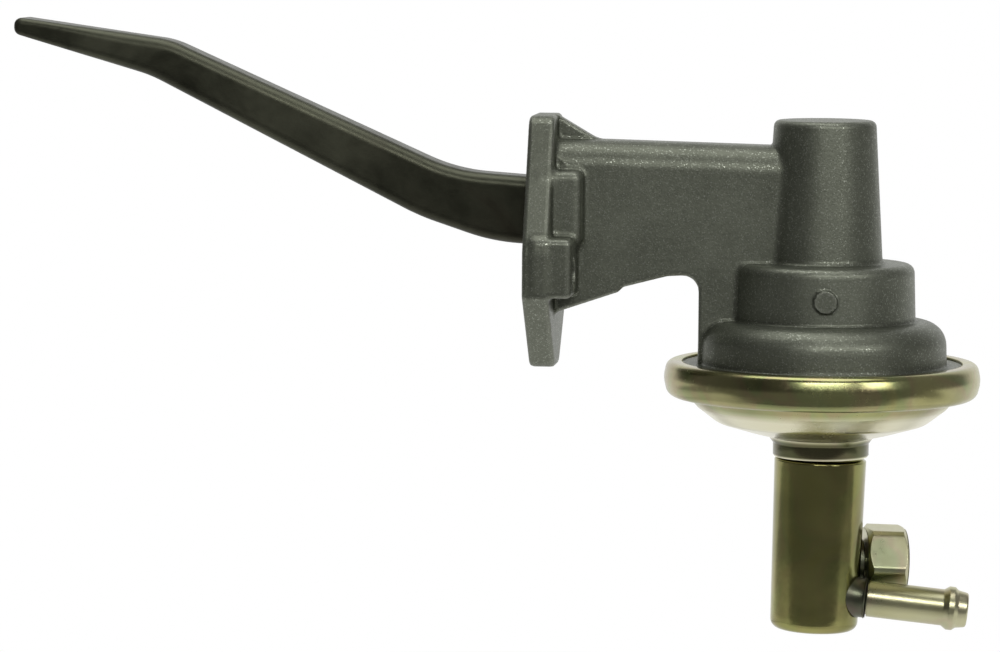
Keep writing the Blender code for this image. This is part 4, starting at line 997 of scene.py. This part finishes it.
# %% The dark side of the room
LEFT_WALL = ((0.18, 0.055), (0.30, 0.10), (0.74, 0.16), (0.88, 1.0))
RIGHT_WALL = ((0.18, 0.08), (0.28, 0.19), (0.78, 0.26), (0.88, 1.0))


def room_tone(f, way):
    """The room's grey in a direction: darkest to the left of the camera, lighter to the right, white
    behind.
    """
    x, y = [f.node("SeparateXYZ", {}, {0: way}, n) for n in (0, 1)]
    left, right = [
        f.ramp(y * 0.5 + 0.5, *[(at, (grey, grey, grey)) for at, grey in wall])
        for wall in (LEFT_WALL, RIGHT_WALL)
    ]
    return f.blend(x.between(-0.3, 0.3), left, right)


def cloth_tone(f):
    """The room's tone where the cloth hangs: its own place, shortened to a direction."""
    return room_tone(f, f.node("VectorMath", {"operation": "NORMALIZE"}, {0: f.place()}))


def glowing(name, tone):
    """A surface that shows one tone whatever the light; tone is a colour or makes one from the finish."""
    f = Finish(name)
    glow = f.node("Emission", {}, {"Color": tone(f) if callable(tone) else tone, "Strength": 1.0})
    f.links.new(glow.socket, f.nodes["Material Output"].inputs["Surface"])
    return f


HANGING_R, CARD_LIFT = 2.4, 0.002
a, b = np.meshgrid(np.radians(np.linspace(41, 179.9, 40)), np.radians(np.arange(0, 360, 6)), indexing="ij")
hanging = HANGING_R * np.stack([np.sin(a) * np.cos(b), np.cos(a), np.sin(a) * np.sin(b)], -1)
staged(
    "dark_cloth", hanging.reshape(-1, 3).tolist(), wrapped(*a.shape, False).tolist(),
    glowing("dark_cloth", cloth_tone), mirror_only=True,
)
CARDS = {
    "front_card": ((-2, -2, 2, -0.12), 0.19),
    "left_card": ((-2, -0.12, -0.25, 0.28), 0.32),
    "right_card": ((0.35, -0.12, 2, 0.06), 0.32),
}
for name, (edges, grey) in CARDS.items():
    corners = flat(*edges, floor_z + CARD_LIFT)
    staged(name, corners, [(0, 1, 2, 3)], glowing(name, (grey, grey, grey)), mirror_only=True)


class Sky(Finish):
    """The world's node tree, used like a finish."""

    def __init__(self, world):
        world.use_nodes = True
        self.nodes, self.links = world.node_tree.nodes, world.node_tree.links


world = bpy.data.worlds.new("studio")
bpy.context.scene.world = world
sky = Sky(world)
plain = sky.node("Background", {}, {"Color": room_tone(sky, sky.node("TexCoord")), "Strength": 0.7})
white = sky.node("Background", {}, {"Color": (1.0, 1.0, 1.0), "Strength": 1.0})
mixed = sky.node("MixShader", {}, {0: seen_rays(sky), 1: plain, 2: white})
sky.links.new(mixed.socket, sky.nodes["World Output"].inputs["Surface"])

# %% [markdown]
# Three softboxes carry the light, none from the left, so the round parts fall into shade there. Their power
# is set so that matt white facing them would come out just under white, because then every colour renders
# about as it was mixed.

# %% Lamps
LAMP_AIM = Vector((0.03, 0, -0.02))


def softbox(name, at, width, height, power):
    """A rectangular lamp that faces the pump."""
    lamp = bpy.data.lights.new(name, "AREA")
    lamp.shape = "RECTANGLE"
    lamp.size, lamp.size_y = width, height
    lamp.energy = power
    thing = bpy.data.objects.new(name, lamp)
    bpy.context.scene.collection.objects.link(thing)
    thing.location = at
    thing.rotation_euler = (LAMP_AIM - Vector(at)).to_track_quat("-Z", "Y").to_euler()
    print(f"{name}: {power} W at {at}")


softbox("overhead", (0.0, -0.05, 0.75), 0.8, 0.5, 2.8)
softbox("front_box", (0.14, -0.86, 0.40), 0.50, 0.14, 2.5)
softbox("right_box", (0.62, -0.58, 0.32), 0.25, 0.25, 1.5)

# %% [markdown]
# The camera stands 1.1 m away, a little to the right of square and a little above, which is why the flange
# shows its body side and the clamp ring shows as a thin ellipse. Its place was worked out from measured
# points of the photograph; the field of view comes from the frame's width, 1000 pixels, at 3.93 pixels a
# millimetre.

# %% Camera
AZIMUTH, ELEVATION, ROLL, DISTANCE, PIXELS_A_MM = 6.5, 5.4, 0.4, 1100.0, 3.93
TARGET = Vector((-8.08, 0.0, -22.20)) * MM
camera_data = bpy.data.cameras.new("camera")
camera = bpy.data.objects.new("camera", camera_data)
bpy.context.scene.collection.objects.link(camera)
a, e, roll = math.radians(AZIMUTH), math.radians(ELEVATION), math.radians(ROLL)
back = Vector((math.sin(a) * math.cos(e), -math.cos(a) * math.cos(e), math.sin(e)))
level = Vector((math.cos(a), math.sin(a), 0))
up = back.cross(level)
right, top = level * math.cos(roll) + up * math.sin(roll), up * math.cos(roll) - level * math.sin(roll)
camera.location = TARGET + back * DISTANCE * MM
camera.rotation_euler = Matrix((right, top, back)).transposed().to_euler()
camera_data.sensor_width = 36.0
camera_data.lens = 36.0 * PIXELS_A_MM * DISTANCE / 1000.0
camera_data.clip_start, camera_data.clip_end = 0.05, 50.0
bpy.context.scene.camera = camera
bpy.context.scene.view_settings.view_transform = "Standard"
print("camera at", tuple(round(v, 3) for v in camera.location), f"lens {camera_data.lens:.1f} mm")
